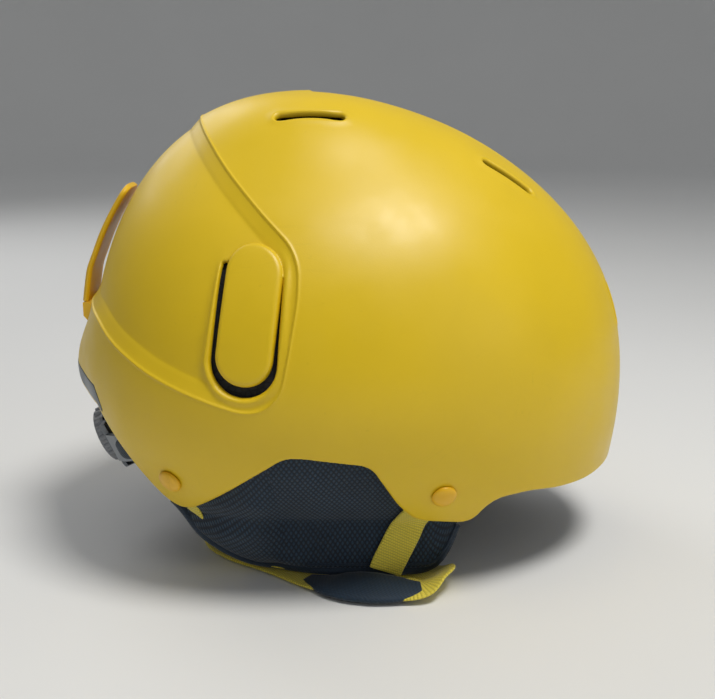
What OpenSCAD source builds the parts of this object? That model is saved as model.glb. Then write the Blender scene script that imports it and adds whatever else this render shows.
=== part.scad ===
// Snow helmet: hard shell, foam liner, soft ear pads, webbing, buckle,
// rear dial adjuster and goggle strap clip. Millimetres, +X forward, +Y to the
// wearer's left, +Z up, standing on its ear pads at z = 0.

/* [Shell] */
// Centre of the head form along the helmet
form_x = -15.5; // [-16.5:0.5:-14.5]
// Height of the head form's centre above the resting surface
form_z = 86; // [85:0.5:87]
// Thickness of the moulded shell
shell_wall = 2.4; // [2:0.1:2.8]
// How far the tail above the nape stands out of the head form
tail_out = 8.3; // [7:0.1:10]
// Depth of the sunken rear panel
panel_depth = 2.5; // [1.5:0.1:3]
// Width of the vent slots
vent_w = 5; // [4.5:0.5:6]
// Depth of the collar moulded round each vent slot
vent_collar = 6.5; // [5:0.5:8]

/* [Liner and padding] */
// Thickness of the expanded foam liner
foam_t = 25; // [20:1:26]
// Thickness of the brow pad
brow_t = 6; // [4:0.5:7]
// Thickness of the crown pad
crown_t = 6; // [4:0.5:8]
// Thickness of an ear pad, outer cloth to lining
ear_t = 19; // [16:1:20]
// Height that an ear pad reaches inside the shell
ear_top = 78; // [74:1:79]

/* [Straps] */
// Width of the webbing
web_w = 15; // [14:0.5:16]
// Thickness of the webbing
web_t = 1.5; // [1.2:0.1:1.6]
// Diameter of a rivet head
rivet_d = 11; // [9:0.5:12]
// Width of the buckle body
buckle_w = 26; // [24:1:28]

/* [Fit dial] */
// Diameter of the dial knob
knob_d = 30; // [30:1:36]
// Teeth on the dial's pinion
pinion_teeth = 12; // [12:1:13]
// Tooth module of the pinion and both racks
gear_m = 1.25; // [1.2:0.05:1.25]
// Lean of the dial, back of the head towards the nape
dial_lean = 25; // [20:1:30]

/* [Goggle clip] */
// Width of the goggle strap clip
clip_w = 26; // [20:1:30]
// Thickness of the clip's tongue
clip_t = 2.6; // [2.2:0.1:3]

/* [Hidden] */
$fn = 48;

// ---- head form ----------------------------------------------------------
// Three profiles give the radius from the form's centre every 15 degrees, from
// the crown down: forward, rearward and sideways. A cubic spline joins them.
front_r = [130.3, 128.5, 130.6, 134.9, 141.7, 147.7, 149, 151.5, 158, 164.5, 171];
rear_r  = [130.3, 132.2, 129.9, 123.1, 115.9, 110.9, 111, 105, 99.5, 93.5, 88];
side_r  = [130.3, 129.8, 113.5, 112, 110.5, 109, 108, 105, 101, 97, 93];
C = [form_x, 0, form_z];
function bsp(c, t) = let (i = min(max(floor(t), 0), len(c) - 4), u = t - i, v = 1 - u)
    (v*v*v*c[i] + (3*u*u*u - 6*u*u + 4)*c[i+1] + (-3*u*u*u + 3*u*u + 3*u + 1)*c[i+2] + u*u*u*c[i+3])/6;
function prof(c, pol) = bsp(concat([c[1]], c), min(pol/15, len(c) - 2.001));
function smooth(t) = let (u = min(max(t, 0), 1)) u*u*(3 - 2*u);
function tail(th, pol) = tail_out*exp(-pow((180 - abs(th))/15, 2))*smooth((pol - 71)/20);
function rad(th, pol) = let (f = prof(front_r, pol), b = prof(rear_r, pol), s = prof(side_r, pol),
    c = cos(th), n = sin(th), fb = (f + b)/2 + (f - b)/2*c)
    (1 + 0.02*pow(2*n*c, 2)*pow(sin(pol), 4))/sqrt(c*c/(fb*fb) + n*n/(s*s)) + tail(th, pol);
function on(th, pol, off) = let (r = rad(th, pol) + off)
    C + [r*sin(pol)*cos(th), r*sin(pol)*sin(th), r*cos(pol)];
// half width of the form at a place in the side view
function half_w(x, z, off, y = 90, n = 6) = n == 0 ? y :
    let (dx = x - C[0], dz = z - C[2], th = atan2(y, dx), pol = acos(dz/norm([dx, y, dz])),
         r = rad(th, pol) + off) half_w(x, z, off, sqrt(max(r*r - dx*dx - dz*dz, 1)), n - 1);

// closed solid of the head form, grown by off
module form(off, dth = 6, dp = 6, pmax = 132) {
    nt = 360/dth; np = pmax/dp;
    pts = concat([on(0, 0, off)],
        [for (j = [1:np]) for (i = [0:nt-1]) on(i*dth > 180 ? i*dth - 360 : i*dth, j*dp, off)],
        [[C[0], 0, C[2] + (rad(90, pmax) + off)*cos(pmax)]]);
    last = 1 + np*nt;
    polyhedron(pts, concat(
        [for (i = [0:nt-1]) [0, 1 + (i + 1)%nt, 1 + i]],
        [for (j = [0:np-2]) for (i = [0:nt-1]) each let (a = 1 + j*nt + i, b = 1 + j*nt + (i + 1)%nt)
            [[a, b, b + nt], [a, b + nt, a + nt]]],
        [for (i = [0:nt-1]) [last, 1 + (np-1)*nt + i, 1 + (np-1)*nt + (i + 1)%nt]]));
}
// closed patch of the form between two offsets
module patch(th0, th1, p0, p1, outer, inner, nt = 8, np = 6) {
    function g(i, j, o) = on(th0 + (th1 - th0)*i/nt, p0 + (p1 - p0)*j/np, o);
    m = (nt + 1)*(np + 1);
    function id(i, j, k) = k*m + j*(nt + 1) + i;
    pts = [for (k = [0, 1]) for (j = [0:np]) for (i = [0:nt]) g(i, j, k == 0 ? outer : inner)];
    polyhedron(pts, concat(
        [for (j = [0:np-1]) for (i = [0:nt-1]) each
            [[id(i,j,0), id(i+1,j,0), id(i+1,j+1,0)], [id(i,j,0), id(i+1,j+1,0), id(i,j+1,0)],
             [id(i,j,1), id(i+1,j+1,1), id(i+1,j,1)], [id(i,j,1), id(i,j+1,1), id(i+1,j+1,1)]]],
        [for (i = [0:nt-1]) each
            [[id(i,0,0), id(i,0,1), id(i+1,0,1)], [id(i,0,0), id(i+1,0,1), id(i+1,0,0)],
             [id(i,np,0), id(i+1,np,1), id(i,np,1)], [id(i,np,0), id(i+1,np,0), id(i+1,np,1)]]],
        [for (j = [0:np-1]) each
            [[id(0,j,0), id(0,j+1,1), id(0,j,1)], [id(0,j,0), id(0,j+1,0), id(0,j+1,1)],
             [id(nt,j,0), id(nt,j,1), id(nt,j+1,1)], [id(nt,j,0), id(nt,j+1,1), id(nt,j+1,0)]]]));
}
// a side view outline run right through the helmet
module through(y0 = -160, y1 = 160) translate([0, y1, 0]) rotate([90, 0, 0]) linear_extrude(y1 - y0) children();
module mirror_y() mirror([0, 1, 0]) children();
module both() { children(); mirror_y() children(); }
module along(p, n) translate(p) rotate([0, acos(n[2]), atan2(n[1], n[0])]) children();

// ---- outlines in the side view ------------------------------------------
rim_line = [[-112.5, 79], [-80.6, 41], [-74, 37.5], [-68, 39], [-60, 45], [-40, 60.5], [-27.5, 69.5],
    [-23.8, 71], [-18, 71], [7, 67.2], [11.3, 64.4], [16.4, 55.5], [22, 45], [29, 36.5], [33.7, 34.8],
    [40, 33.7], [51.7, 31.7], [56.5, 34], [60.5, 40], [66.6, 44], [80.7, 45], [96, 42.5], [111, 41.5], [124, 42.5], [150, 46]];
module below_rim(up = 0) through() offset(r = -3) offset(r = 6) offset(r = -3)
    polygon(concat([[-150, -40], [-150, 79 + up]], [for (p = rim_line) p + [0, up]], [[150, -40]]));
panel_line = [[-68.5, 204.3], [-52, 184], [-35, 167], [-23, 156], [-19.5, 148], [-19.5, 136], [-23.5, 113],
    [-26.5, 99], [-33.5, 92], [-42.5, 91], [-59, 95.4], [-81, 103], [-101.5, 113], [-111, 119.5], [-120, 122], [-160, 123],
    [-160, 240], [-98, 240]];
module panel_cut(depth, grow) difference() {
    through() offset(r = 5 + grow) offset(r = -5) polygon(panel_line);
    form(-depth);
}
pod_top = [-38, 146]; pod_low = [-42, 111];
module pod_outline(r, shift = 0) hull() {
    translate(pod_top + [shift, 0]) circle(r, $fn = 32);
    translate(pod_low + [shift, 0.6]) circle(r, $fn = 32);
}
module pod_slot() through(-160, -70) difference() {
    hull() { translate(pod_top) circle(12.6, $fn = 32); translate(pod_low) circle(14.2, $fn = 32); }
    hull() for (p = [pod_top + [0.4, -0.5], pod_low + [0.4, 2.2]]) translate(p) circle(12, $fn = 32);
    polygon([[-60, 151], [-50, 151], [-20, 144], [-20, 170], [-60, 170]]);
}
// vent slots: place, turn about X then Y, length
vents = [[[-16.4, -37, 206], 35, 0, 31], [[72.3, -31, 179], 23, 33, 27], [[124.5, -23, 119.5], 14, 74, 20]];
module vent_at(v) translate(v[0]) rotate([0, v[2], 0]) rotate([v[1], 0, 0]) children();
module vent_hole(v, w, depth) vent_at(v) translate([0, 0, -depth]) hull()
    for (s = [-1, 1]) translate([s*(v[3] - w)/2, 0, 0]) cylinder(h = depth + 12, d = w, $fn = 20);
function unit(v) = v/norm(v);
function shell_n(x, z) = unit([-(half_w(x + 1, z, 0) - half_w(x - 1, z, 0))/2, -1, -(half_w(x, z + 1, 0) - half_w(x, z - 1, 0))/2]);
function on_side(x, z) = [x, -half_w(x, z, 0), z];
rivet_front = on_side(41.2, 49.7); rivet_front_n = shell_n(41.2, 49.7);
rivet_rear = on_side(-75.5, 54.5); rivet_rear_n = shell_n(-75.5, 54.5);
clip_screw_p = [-123.5, 0, 111.5];

// ---- shell and liner ------------------------------------------------------
module shell_outside() difference() { form(0); panel_cut(panel_depth, 0); }
module shell_inside(gap) difference() { form(-shell_wall - gap); panel_cut(panel_depth + shell_wall + gap, 3 + gap); }
module outer_shell() color("gold") difference() {
    union() {
        difference() { shell_outside(); shell_inside(0); }
        intersection() {
            both() for (v = vents) vent_hole([v[0], v[1], v[2], v[3] + 3.6], vent_w + 3.6, vent_collar);
            form(-1);
        }
    }
    below_rim();
    both() pod_slot();
    both() for (v = vents) vent_hole(v, vent_w, 30);
    both() for (r = [[rivet_front, rivet_front_n], [rivet_rear, rivet_rear_n]])
        along(r[0], r[1]) translate([0, 0, -8]) cylinder(h = 16, r = 2.4, $fn = 24);
    translate([-132, 0, clip_screw_p[2]]) rotate([0, 90, 0]) cylinder(h = 16, r = 1.7, $fn = 24);
}
liner_off = shell_wall + foam_t;
liner_rim = [[-80, 81], [58, 81], [63, 49], [150, 49]];
module foam_liner() color("dimgray") difference() {
    shell_inside(0.1);
    form(-liner_off, pmax = 126);
    through() offset(r = 4) offset(r = -4) polygon(concat([[-150, -40], [-150, 82]], liner_rim, [[150, -40]]));
    both() for (v = vents) vent_hole([v[0], v[1], v[2], v[3] + 5], vent_w + 5, 45);
    both() difference() { through(-160, -50) pod_outline(16); form(-shell_wall - panel_depth - 7, pmax = 126); }
    translate([-132, 0, clip_screw_p[2]]) rotate([0, 90, 0]) cylinder(h = 18, r = 5, $fn = 24);
    // bed for the cradle stay
    translate([-136, -11, 60]) cube([33, 22, 64]);
}
module side_mesh_right() color("darkslategray") intersection() {
    patch(-133, -84, 45, 96, -shell_wall - panel_depth - 0.35, -shell_wall - panel_depth - 1.15, 12, 12);
    through(-160, -40) pod_outline(15.6);
}
module side_mesh_left() mirror_y() side_mesh_right();

// ---- goggle strap clip ----------------------------------------------------
clip_line = [[-102, 174.5], [-104.9, 173.5], [-109.6, 166.3], [-114.4, 158.1], [-118.3, 150.4], [-122.2, 141.1],
    [-125.1, 133.7], [-127, 124], [-127.9, 118.2]];
module goggle_clip() color("gold") difference() {
    through(-clip_w/2, clip_w/2) offset(r = 0.6) offset(delta = -0.6)
        polygon(concat(clip_line, [for (i = [len(clip_line)-1:-1:1]) clip_line[i] + clip_t*[1, -0.42 + 0.05*i]]));
    for (s = [-1, 1]) translate([-140, s*clip_w/2, 176]) rotate([0, 90, 0]) cylinder(h = 60, r = 5, $fn = 32);
}
module goggle_clip_base() color("gold") difference() {
    through(-clip_w/2, clip_w/2) offset(r = 0.6) offset(delta = -0.6)
        polygon([[-127.9, 117.8], [-127.9, 111], [-125, 107.5], [-122.2, 107.5], [-122.2, 114.5], [-125.3, 117.8]]);
    form(0);
    translate([-127, 0, clip_screw_p[2]]) rotate([0, 90, 0]) cylinder(h = 16, r = 1.5);
}
module goggle_clip_screw() color("silver") translate([-126.8, 0, clip_screw_p[2]]) rotate([0, 90, 0]) {
    cylinder(h = 8, r = 1.5);
    translate([0, 0, 7.2]) difference() { cylinder(h = 2, r = 3.4); translate([-2.2, -0.5, 1]) cube([4.4, 1, 2]); }
}

// ---- rivets ---------------------------------------------------------------
module rivet() {
    rotate_extrude() polygon(concat([[0, 0], [rivet_d/2, 0], [rivet_d/2, 0.5]],
        [for (a = [15:15:90]) [rivet_d/2*cos(a), 0.5 + 2.1*sin(a)]]));
    translate([0, 0, -7.2]) cylinder(h = 7.2, r = 2.2);
    translate([0, 0, -7.6]) cylinder(h = 0.6, r = 3);
}
module at_rivets() { both() { along(rivet_front, rivet_front_n) children(); along(rivet_rear, rivet_rear_n) children(); } }
module strap_rivets() color("gold") at_rivets() translate([0, 0, 0.3]) rivet();
module rivet_washers() color("silver") at_rivets() translate([0, 0, -6.55]) difference() {
    cylinder(h = 0.6, r = 5); translate([0, 0, -1]) cylinder(h = 3, r = 2.3);
}

// ---- ear pads ---------------------------------------------------------------
// outer face of a pad at a place in the side view, and its lowest edge
function pad_low(x) = x < -24 ? 0.0115*pow(-24 - x, 2) : x > 36 ? 0.11*pow(x - 36, 2) : 0;
function lip_y(x) = 68 - 0.0043*pow(x - 10, 2);
function top_y(x) = 103*sqrt(1 - pow((x + 15)/150, 2));
function pad_y(x, z) = let (l = pad_low(x) + 4.2, u = max(0, (z - l)/(63 - l)))
    min(lip_y(x) + (top_y(x) - lip_y(x))*pow(u, 0.58), half_w(x, max(z, 30), -shell_wall - 5.5));
pad_x = [-65, -62, -57, -50, -42, -34, -24, -10, 6, 22, 36, 43, 48, 51, 53];
pad_u = [0, 0.05, 0.12, 0.22, 0.36, 0.52, 0.7, 0.86, 1];
lining_u = [0.24, 0.36, 0.52, 0.7, 0.86, 0.98];
lining_x = [-60, -57, -50, -42, -34, -24, -10, 6, 22, 36, 43, 48];
function toe(u) = 8*(1 - smooth(u/0.45));
module pad_solid(d0, d1, contact = true, pad_u = pad_u, pad_x = pad_x) {
    n = len(pad_u);
    function ring(x) = let (b = pad_low(x), e = min((x + 67)/6, (55 - x)/6, 1), c = sqrt(1 - pow(1 - max(e, 0.2), 2)),
        mid = (d0 + d1)/2, a0 = mid + (d0 - mid)*c, a1 = mid + (d1 - mid)*c, i0 = d0 > 0 ? 1 : 0)
        concat([for (u = pad_u) let (z = b + 4.2 + (ear_top - b - 4.2)*u) [x, -(pad_y(x, z) - a0 - i0*toe(u)), z]],
               [for (k = [n-1:-1:0]) let (z = b + 4.2 + (ear_top - b - 4.2)*pad_u[k]) [x, -(pad_y(x, z) - a1 - toe(pad_u[k])), z]],
               contact ? [[x, -(lip_y(x) - a1 - toe(0) + 0.4), b + 1.3], [x, -(lip_y(x) - a1 - toe(0) + 1.8), b], [x, -(lip_y(x) - 16.4), b], [x, -(lip_y(x) - 15.6), b + 4.2]] : []);
    m = 2*n + (contact ? 4 : 0);
    pts = [for (x = pad_x) each ring(x)];
    k = len(pad_x);
    polyhedron(pts, concat([[for (i = [m-1:-1:0]) i]], [[for (i = [0:m-1]) (k-1)*m + i]],
        [for (j = [0:k-2]) for (i = [0:m-1]) each let (a = j*m + i, b = j*m + (i + 1)%m)
            i >= n && i < 2*n - 1 ? [[a, b, b + m], [a, b + m, a + m]] : [[a, b, a + m], [b, b + m, a + m]]]));
}
module ear_pad_right() color("midnightblue") pad_solid(0, ear_t - 3.4);
module ear_pad_left() mirror_y() ear_pad_right();
module ear_lining_right() color("darkslateblue") pad_solid(ear_t - 1.8, ear_t, false, lining_u, lining_x);
module ear_lining_left() mirror_y() ear_lining_right();
module ear_pad_studs() color("black") both() for (x = [-44, -4, 34]) translate([x, -(half_w(x, ear_top, -shell_wall - 5.5) - 8.3), ear_top + 0.05]) {
    cylinder(h = 2.9, r = 2); cylinder(h = 0.8, r = 4.5);
}

// ---- webbing ----------------------------------------------------------------
// a flat strap: each entry is a place and the direction its face looks
module ribbon(path, w = web_w, t = web_t) {
    n = len(path);
    function tan_at(i) = unit(path[min(i + 1, n-1)][0] - path[max(i - 1, 0)][0]);
    function ring(i) = let (p = path[i][0], a = tan_at(i), s = unit(cross(path[i][1], a)), f = unit(cross(a, s)))
        [p + s*w/2 + f*t/2, p - s*w/2 + f*t/2, p - s*w/2 - f*t/2, p + s*w/2 - f*t/2];
    polyhedron([for (i = [0:n-1]) each ring(i)], concat([[0, 1, 2, 3]], [[for (i = [3:-1:0]) (n-1)*4 + i]],
        [for (j = [0:n-2]) for (i = [0:3]) each let (a = j*4 + i, b = j*4 + (i + 1)%4) [[a, a + 4, b], [b, a + 4, b + 4]]]));
}
function pad_n(x, z) = unit([-(pad_y(x + 1, z) - pad_y(x - 1, z))/2, -1, -(pad_y(x, z + 1) - pad_y(x, z - 1))/2]);
front_run = [[46, 62], [43.5, 56], [41, 50.5], [37, 44.5], [32.5, 38.5], [28.5, 31.5], [25, 24.5], [21.5, 17], [18.5, 10.5], [17, 6.5]];
function strap_y(x, z) = min(pad_y(x, z) + 1.9 + 1.4*smooth((z - 30)/12), half_w(x, max(z, 34), -shell_wall - 2));
module front_strap_right() color("gold") ribbon([for (p = front_run) [[p[0], -strap_y(p[0], p[1]), p[1]], pad_n(p[0], p[1])]]);
module front_strap_left() mirror_y() front_strap_right();
rear_run = [[[20, -62.6, 3.05], [0, 0, 1]], [[8, -62.6, 3.05], [0, 0, 1]], [[-10, -60.2, 3.15], [0, 0, 1]],
    [[-26, -57.5, 3.2], [0, 0, 1]], [[-38, -55, 4.6], [0.1, 0, 1]], [[-48, -54, 8], [0.3, 0.1, 1]],
    [[-57, -56.5, 14.5], [0.55, 0.35, 0.75]], [[-64.5, -61.2, 23.5], [0.7, 0.5, 0.5]], [[-70, -68.6, 34], [0.7, 0.7, 0.3]]];
module rear_strap_right() color("gold") ribbon(concat(rear_run,
    [for (p = [[-73, 42], [-74.5, 49], [-75.6, 55], [-76.5, 63]]) [[p[0], -half_w(p[0], p[1], -shell_wall - 2.15), p[1]], -shell_n(p[0], p[1])]]));
module rear_strap_left() mirror_y() rear_strap_right();
chin_run = [[[8, -61, 1.1], [0, 0, 1]], [[22, -61, 1.1], [0, 0, 1]], [[31, -62.3, 1.2], [-0.05, 0, 1]],
    [[38.5, -70.5, 3.4], [-0.3, 0.05, 0.95]], [[41.8, -76.5, 6.6], [-0.5, 0.13, 0.85]], [[38.5, -82, 6.6], [-0.47, 0.16, 0.85]],
    [[32.5, -86.5, 4.9], [-0.11, -0.12, 0.93]], [[23, -87, 4.1], [0, -0.22, 1]], [[8, -85, 4.1], [0, -0.22, 1]],
    [[-3, -80.8, 3.1], [0, -0.12, 1]], [[-10, -76.6, 1.95], [0, -0.02, 1]], [[-18, -70.4, 1.15], [0, 0, 1]], [[-27, -62.6, 1.1], [0, 0, 1]],
    [[-38, -54, 1.1], [0, 0, 1]], [[-51, -45, 1.1], [0, 0, 1]], [[-61, -34, 1.1], [0, 0, 1]], [[-64.5, -24, 1.8], [0, 0, 1]],
    [[-64.5, -17, 3.6], [0, 0, 1]], [[-64.5, -13, 4.1], [0, 0, 1]], [[-64.5, -9.5, 4.1], [0, 0, 1]]];
module chin_strap_right() color("gold") ribbon(chin_run);
module chin_strap_left() color("gold") ribbon([[[12, 61, 1.1], [0, 0, 1]], [[-8, 60.5, 1.1], [0, 0, 1]], [[-24, 59, 1.1], [0, 0, 1]],
    [[-38, 57, 1.1], [0, 0, 1]], [[-52, 54, 1.1], [0, 0, 1]], [[-61, 50, 1.4], [0, 0, 1]], [[-64.5, 45, 2.8], [0, 0, 1]],
    [[-64.5, 40.5, 4.1], [0, 0, 1]], [[-64.5, 37, 4.1], [0, 0, 1]]]);
// padded sleeve round the chin strap: width and thickness change along it
module sleeve(k0, k1, ws, t) {
    n = k1 - k0 + 1;
    function ring(i) = let (q = chin_run[k0 + i], a = unit(chin_run[k0 + i + 1][0] - chin_run[k0 + i - 1][0]),
        s = unit(cross(q[1], a)), f = unit(cross(a, s)), w = ws[i])
        [for (v = [[0.5, 0.18], [0.4, 0.42], [0.2, 0.5], [-0.2, 0.5], [-0.4, 0.42], [-0.5, 0.18], [-0.5, -0.18], [-0.4, -0.42], [0.4, -0.42], [0.5, -0.18]])
            q[0] + s*w*v[0] + f*t*v[1]];
    m = 10;
    polyhedron([for (i = [0:n-1]) each ring(i)], concat([[for (i = [0:m-1]) i]], [[for (i = [m-1:-1:0]) (n-1)*m + i]],
        [for (j = [0:n-2]) for (i = [0:m-1]) each let (a = j*m + i, b = j*m + (i + 1)%m) [[a, a + m, b], [b, a + m, b + m]]]));
}
module chin_pad() color("midnightblue") difference() {
    sleeve(7, 10, [17, 18.5, 18, 16.4], 4.2);
    ribbon([for (i = [5:12]) chin_run[i]], web_w + 0.3, web_t + 0.3);
}

// ---- buckle -------------------------------------------------------------------
// closed side-release buckle lying across the helmet
bx = -64.5;
bz = 4.1;
module buckle_socket() color("black") translate([bx, 0, bz]) difference() {
    translate([-buckle_w/2, 6, -4]) cube([buckle_w, 34, 8]);
    translate([-(buckle_w - 6)/2, 5, -2.3]) cube([buckle_w - 6, 23, 4.6]);
    for (s = [-1, 1]) translate([s*buckle_w/2 - 4, 14, -2.3]) cube([8, 9, 4.6]);
    translate([-8.2, 31, -5]) cube([16.4, 2.2, 10]);
    translate([-8.2, 35.4, -5]) cube([16.4, 2.2, 10]);
    translate([-8.2, 33, 1.6]) cube([16.4, 3, 3]);
    translate([-8.2, 32, -1.2]) cube([16.4, 9, 2.4]);
}
module buckle_plug() color("black") translate([bx, 0, bz]) difference() {
    union() {
        translate([-buckle_w/2, -14, -3.9]) cube([buckle_w, 19.6, 7.8]);
        translate([-2.5, 4, -1.8]) cube([5, 20, 3.6]);
        for (s = [-1, 1]) linear_extrude(3.8, center = true)
            polygon([[s*6, 4], [s*9.4, 4], [s*9.6, 15], [s*9.6, 18], [s*8.4, 22.4], [s*6.2, 22.4], [s*6, 17]]);
    }
    translate([-8.2, -15, -1.2]) cube([16.4, 8.9, 2.4]);
    translate([-8.2, -11.6, -5]) cube([16.4, 2.4, 10]);
    translate([-8.2, -6.2, -5]) cube([16.4, 2.4, 10]);
    translate([-8.2, -9.5, 1.6]) cube([16.4, 3.5, 3]);
}

// ---- comfort padding ------------------------------------------------------------
module brow_pad() color("darkslategray") patch(-48, 48, 86, 101, -liner_off - 0.9, -liner_off - 0.9 - brow_t, 16, 4);
module crown_pad() color("darkslategray") difference() {
    intersection() { form(-liner_off - 1.1, 12, 12); translate([-15.5, 0, 155]) cylinder(h = 100, r = 46, $fn = 64); }
    form(-liner_off - 1.1 - crown_t, 12, 12);
    for (s = [-1, 1]) translate([-15.5 - 60, s*17 - 6, 0]) cube([120, 12, 300]);
}
module side_pad_right() color("darkslategray") patch(-118, -62, 62, 84, -liner_off - 0.9, -liner_off - 4.9, 10, 4);
module side_pad_left() mirror_y() side_pad_right();
module pad_hook_dots() color("black") for (a = [[-30, 93], [0, 93], [30, 93], [-90, 72], [90, 72], [-110, 74], [110, 74], [90, 3], [0, 12], [180, 12]])
    patch(a[0] - 3.5, a[0] + 3.5, max(a[1] - 3, 1), a[1] + 3, -liner_off - 0.5, -liner_off - 0.87, 2, 2);

// ---- dial adjuster ----------------------------------------------------------------
dial_p = [-108.5, 0, 53];
spring_r = 11;
module at_dial() translate(dial_p) rotate([0, -90 - dial_lean, 0]) children();
// in the dial's own frame x points up the head, y to the wearer's left, z outwards
pitch_r = gear_m*pinion_teeth/2;
function inv_pt(rb, t) = [rb*(cos(t) + t*PI/180*sin(t)), rb*(sin(t) - t*PI/180*cos(t))];
module pinion_2d() {
    n = pinion_teeth; rb = pitch_r*cos(25); ro = pitch_r + gear_m*0.9; rr = pitch_r - gear_m*1.15;
    tp = sqrt(pow(pitch_r/rb, 2) - 1)*180/PI; to = sqrt(pow(ro/rb, 2) - 1)*180/PI;
    half = 90/n - 0.55 + (tp - 25);
    for (k = [0:n-1]) rotate(k*360/n) polygon(concat([[0, 0], rr*[cos(half + 4), -sin(half + 4)]],
        [for (j = [0:5]) let (p = inv_pt(rb, to*j/5), c = cos(half), s = sin(half)) [p[0]*c + p[1]*s, -p[0]*s + p[1]*c]],
        [for (j = [5:-1:0]) let (p = inv_pt(rb, to*j/5), c = cos(half), s = sin(half)) [p[0]*c + p[1]*s, p[0]*s - p[1]*c]],
        [rr*[cos(half + 4), sin(half + 4)]]));
    circle(rr, $fn = 36);
}
pitch = PI*gear_m;
// rack teeth along y, pitch line at x = pitch_r, teeth pointing to -x; a gap faces the pinion's tooth at y = 0
module rack_2d(y0, y1) {
    translate([pitch_r + gear_m*1.2, y0]) square([3.2, y1 - y0]);
    intersection() {
        translate([pitch_r - 3, y0]) square([8, y1 - y0]);
        for (k = [-9:9]) translate([pitch_r, (k + 0.5)*pitch]) polygon([[gear_m*1.25, -pitch/4 - gear_m*0.583 + 0.12],
            [-gear_m*0.85, -pitch/4 + gear_m*0.396 + 0.12], [-gear_m*0.85, pitch/4 - gear_m*0.396 - 0.12], [gear_m*1.25, pitch/4 + gear_m*0.583 - 0.12]]);
    }
}
band_h = 14;
// plan of the right arm's band, in the dial's frame: y across, z outwards
arm_line = [[-26.5, 5], [-34, 4.6], [-43, -1.8], [-51, -11], [-57.5, -21.5], [-61.5, -32.5], [-63, -42]];
module arm_band(w, t, o = 0, k0 = 0) {
    p = arm_line; n = len(p);
    function nrm(i) = let (a = p[min(i + 1, n-1)] - p[max(i - 1, 0)], u = a/norm(a)) [-u[1], u[0]];
    rotate([0, 0, 0]) rotate([90, 0, 90]) linear_extrude(w, center = true)
        polygon(concat([for (i = [k0:n-1]) p[i] + nrm(i)*o], [for (i = [n-1:-1:k0]) p[i] + nrm(i)*(o + t)]));
}
module cradle_arm_right() color("lightgray") at_dial() {
    translate([0, 0, 2.6]) linear_extrude(2.4) rack_2d(-34, 13);
    arm_band(band_h, 2.2);
    translate([(pitch_r + gear_m*1.2 + 3.2)/2 - 0.5, -30.5, 3.8]) cube([pitch_r + gear_m*1.2 + 4.2, 7, 2.4], center = true);
}
module cradle_arm_left() color("lightgray") at_dial() rotate([0, 0, 180]) {
    translate([0, 0, 2.6]) linear_extrude(2.4) rack_2d(-34, 13);
    arm_band(band_h, 2.2);
    translate([(pitch_r + gear_m*1.2 + 3.2)/2 - 0.5, -30.5, 3.8]) cube([pitch_r + gear_m*1.2 + 4.2, 7, 2.4], center = true);
}
module arm_pad_right() color("darkslategray") at_dial() arm_band(band_h - 2, 3, -3.1, 2);
module arm_pad_left() color("darkslategray") at_dial() rotate([0, 0, 180]) arm_band(band_h - 2, 3, -3.1, 2);
hh = pitch_r + gear_m*1.2 + 3.2 + 0.4;
module cradle_housing() color("lightgray") at_dial() {
    difference() {
        linear_extrude(5.3) offset(r = 4) square([2*hh - 4.4, 42], center = true);
        // channels for both racks and the room for the pinion
        for (a = [0, 180]) rotate([0, 0, a]) {
            translate([pitch_r + gear_m*1.2 - 0.4, -40, 2.2]) cube([4, 80, 10]);
            translate([-1, -40, 2.2]) cube([pitch_r + gear_m*1.2 + 3, 80 - 40, 0.01]);
        }
        translate([0, 0, 2.2]) linear_extrude(10) square([2*(pitch_r + gear_m*1.2), 46.2], center = true);
        translate([0, 0, -1]) cylinder(h = 5, r = 1.3);
        for (a = [0, 180]) rotate([0, 0, a]) translate([-hh - 1, -40, 2.2]) cube([2*hh + 2, 24, 10]);
    }
}
module dial_cover() color("lightgray") at_dial() translate([0, 0, 5.5]) difference() {
    linear_extrude(1.6) offset(r = 4) square([2*hh - 4.4, 42], center = true);
    translate([0, 0, -1]) cylinder(h = 4, r = 4.06);
}
module dial_pinion() color("gray") at_dial() {
    translate([0, 0, 2.6]) linear_extrude(2.4) difference() { pinion_2d(); circle(1.35, $fn = 32); }
    translate([0, 0, 5]) difference() { cylinder(h = 4.3, r = 4); translate([0, 0, -1]) cylinder(h = 6, r = 1.35); }
}
module dial_knob() color("dimgray") at_dial() translate([0, 0, 7.5]) difference() {
    union() {
        cylinder(h = 8.5, r = knob_d/2 - 1.2);
        for (k = [0:17]) rotate(k*20) translate([knob_d/2 - 1.6, 0, 0]) cylinder(h = 7.6, r = 1.6, $fn = 16);
    }
    translate([0, 0, -1]) cylinder(h = 2.8, r = 4);
    translate([0, 0, -1]) cylinder(h = 20, r = 1.35);
    translate([0, 0, 6.2]) cylinder(h = 5, r = 5.2);
    translate([0, 0, -1]) difference() { cylinder(h = 3, r = max(knob_d/2 - 4.5, spring_r + 0.6)); cylinder(h = 4, r = 6); }
}
module dial_screw() color("silver") at_dial() difference() {
    union() { translate([0, 0, 0.4]) cylinder(h = 13.6, r = 1.3); translate([0, 0, 14]) cylinder(h = 1.4, r = 4.6); }
    translate([-0.6, -3, 14.6]) cube([1.2, 6, 2]);
}
module dial_spring() color("silver") at_dial() translate([0, 0, 7.1]) difference() {
    cylinder(h = 0.8, r = spring_r); translate([0, 0, -1]) cylinder(h = 4, r = 8);
}
module cradle_stay() color("lightgray") translate([0, -8, 0]) rotate([-90, 0, 0]) linear_extrude(16)
    polygon([for (p = [[-115.2, 65.4], [-118.2, 64], [-117.8, 76], [-115, 88], [-112, 98], [-108, 112], [-105.4, 112], [-109.4, 98], [-112.4, 88], [-115, 76]]) [p[0], -p[1]]]);
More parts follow.
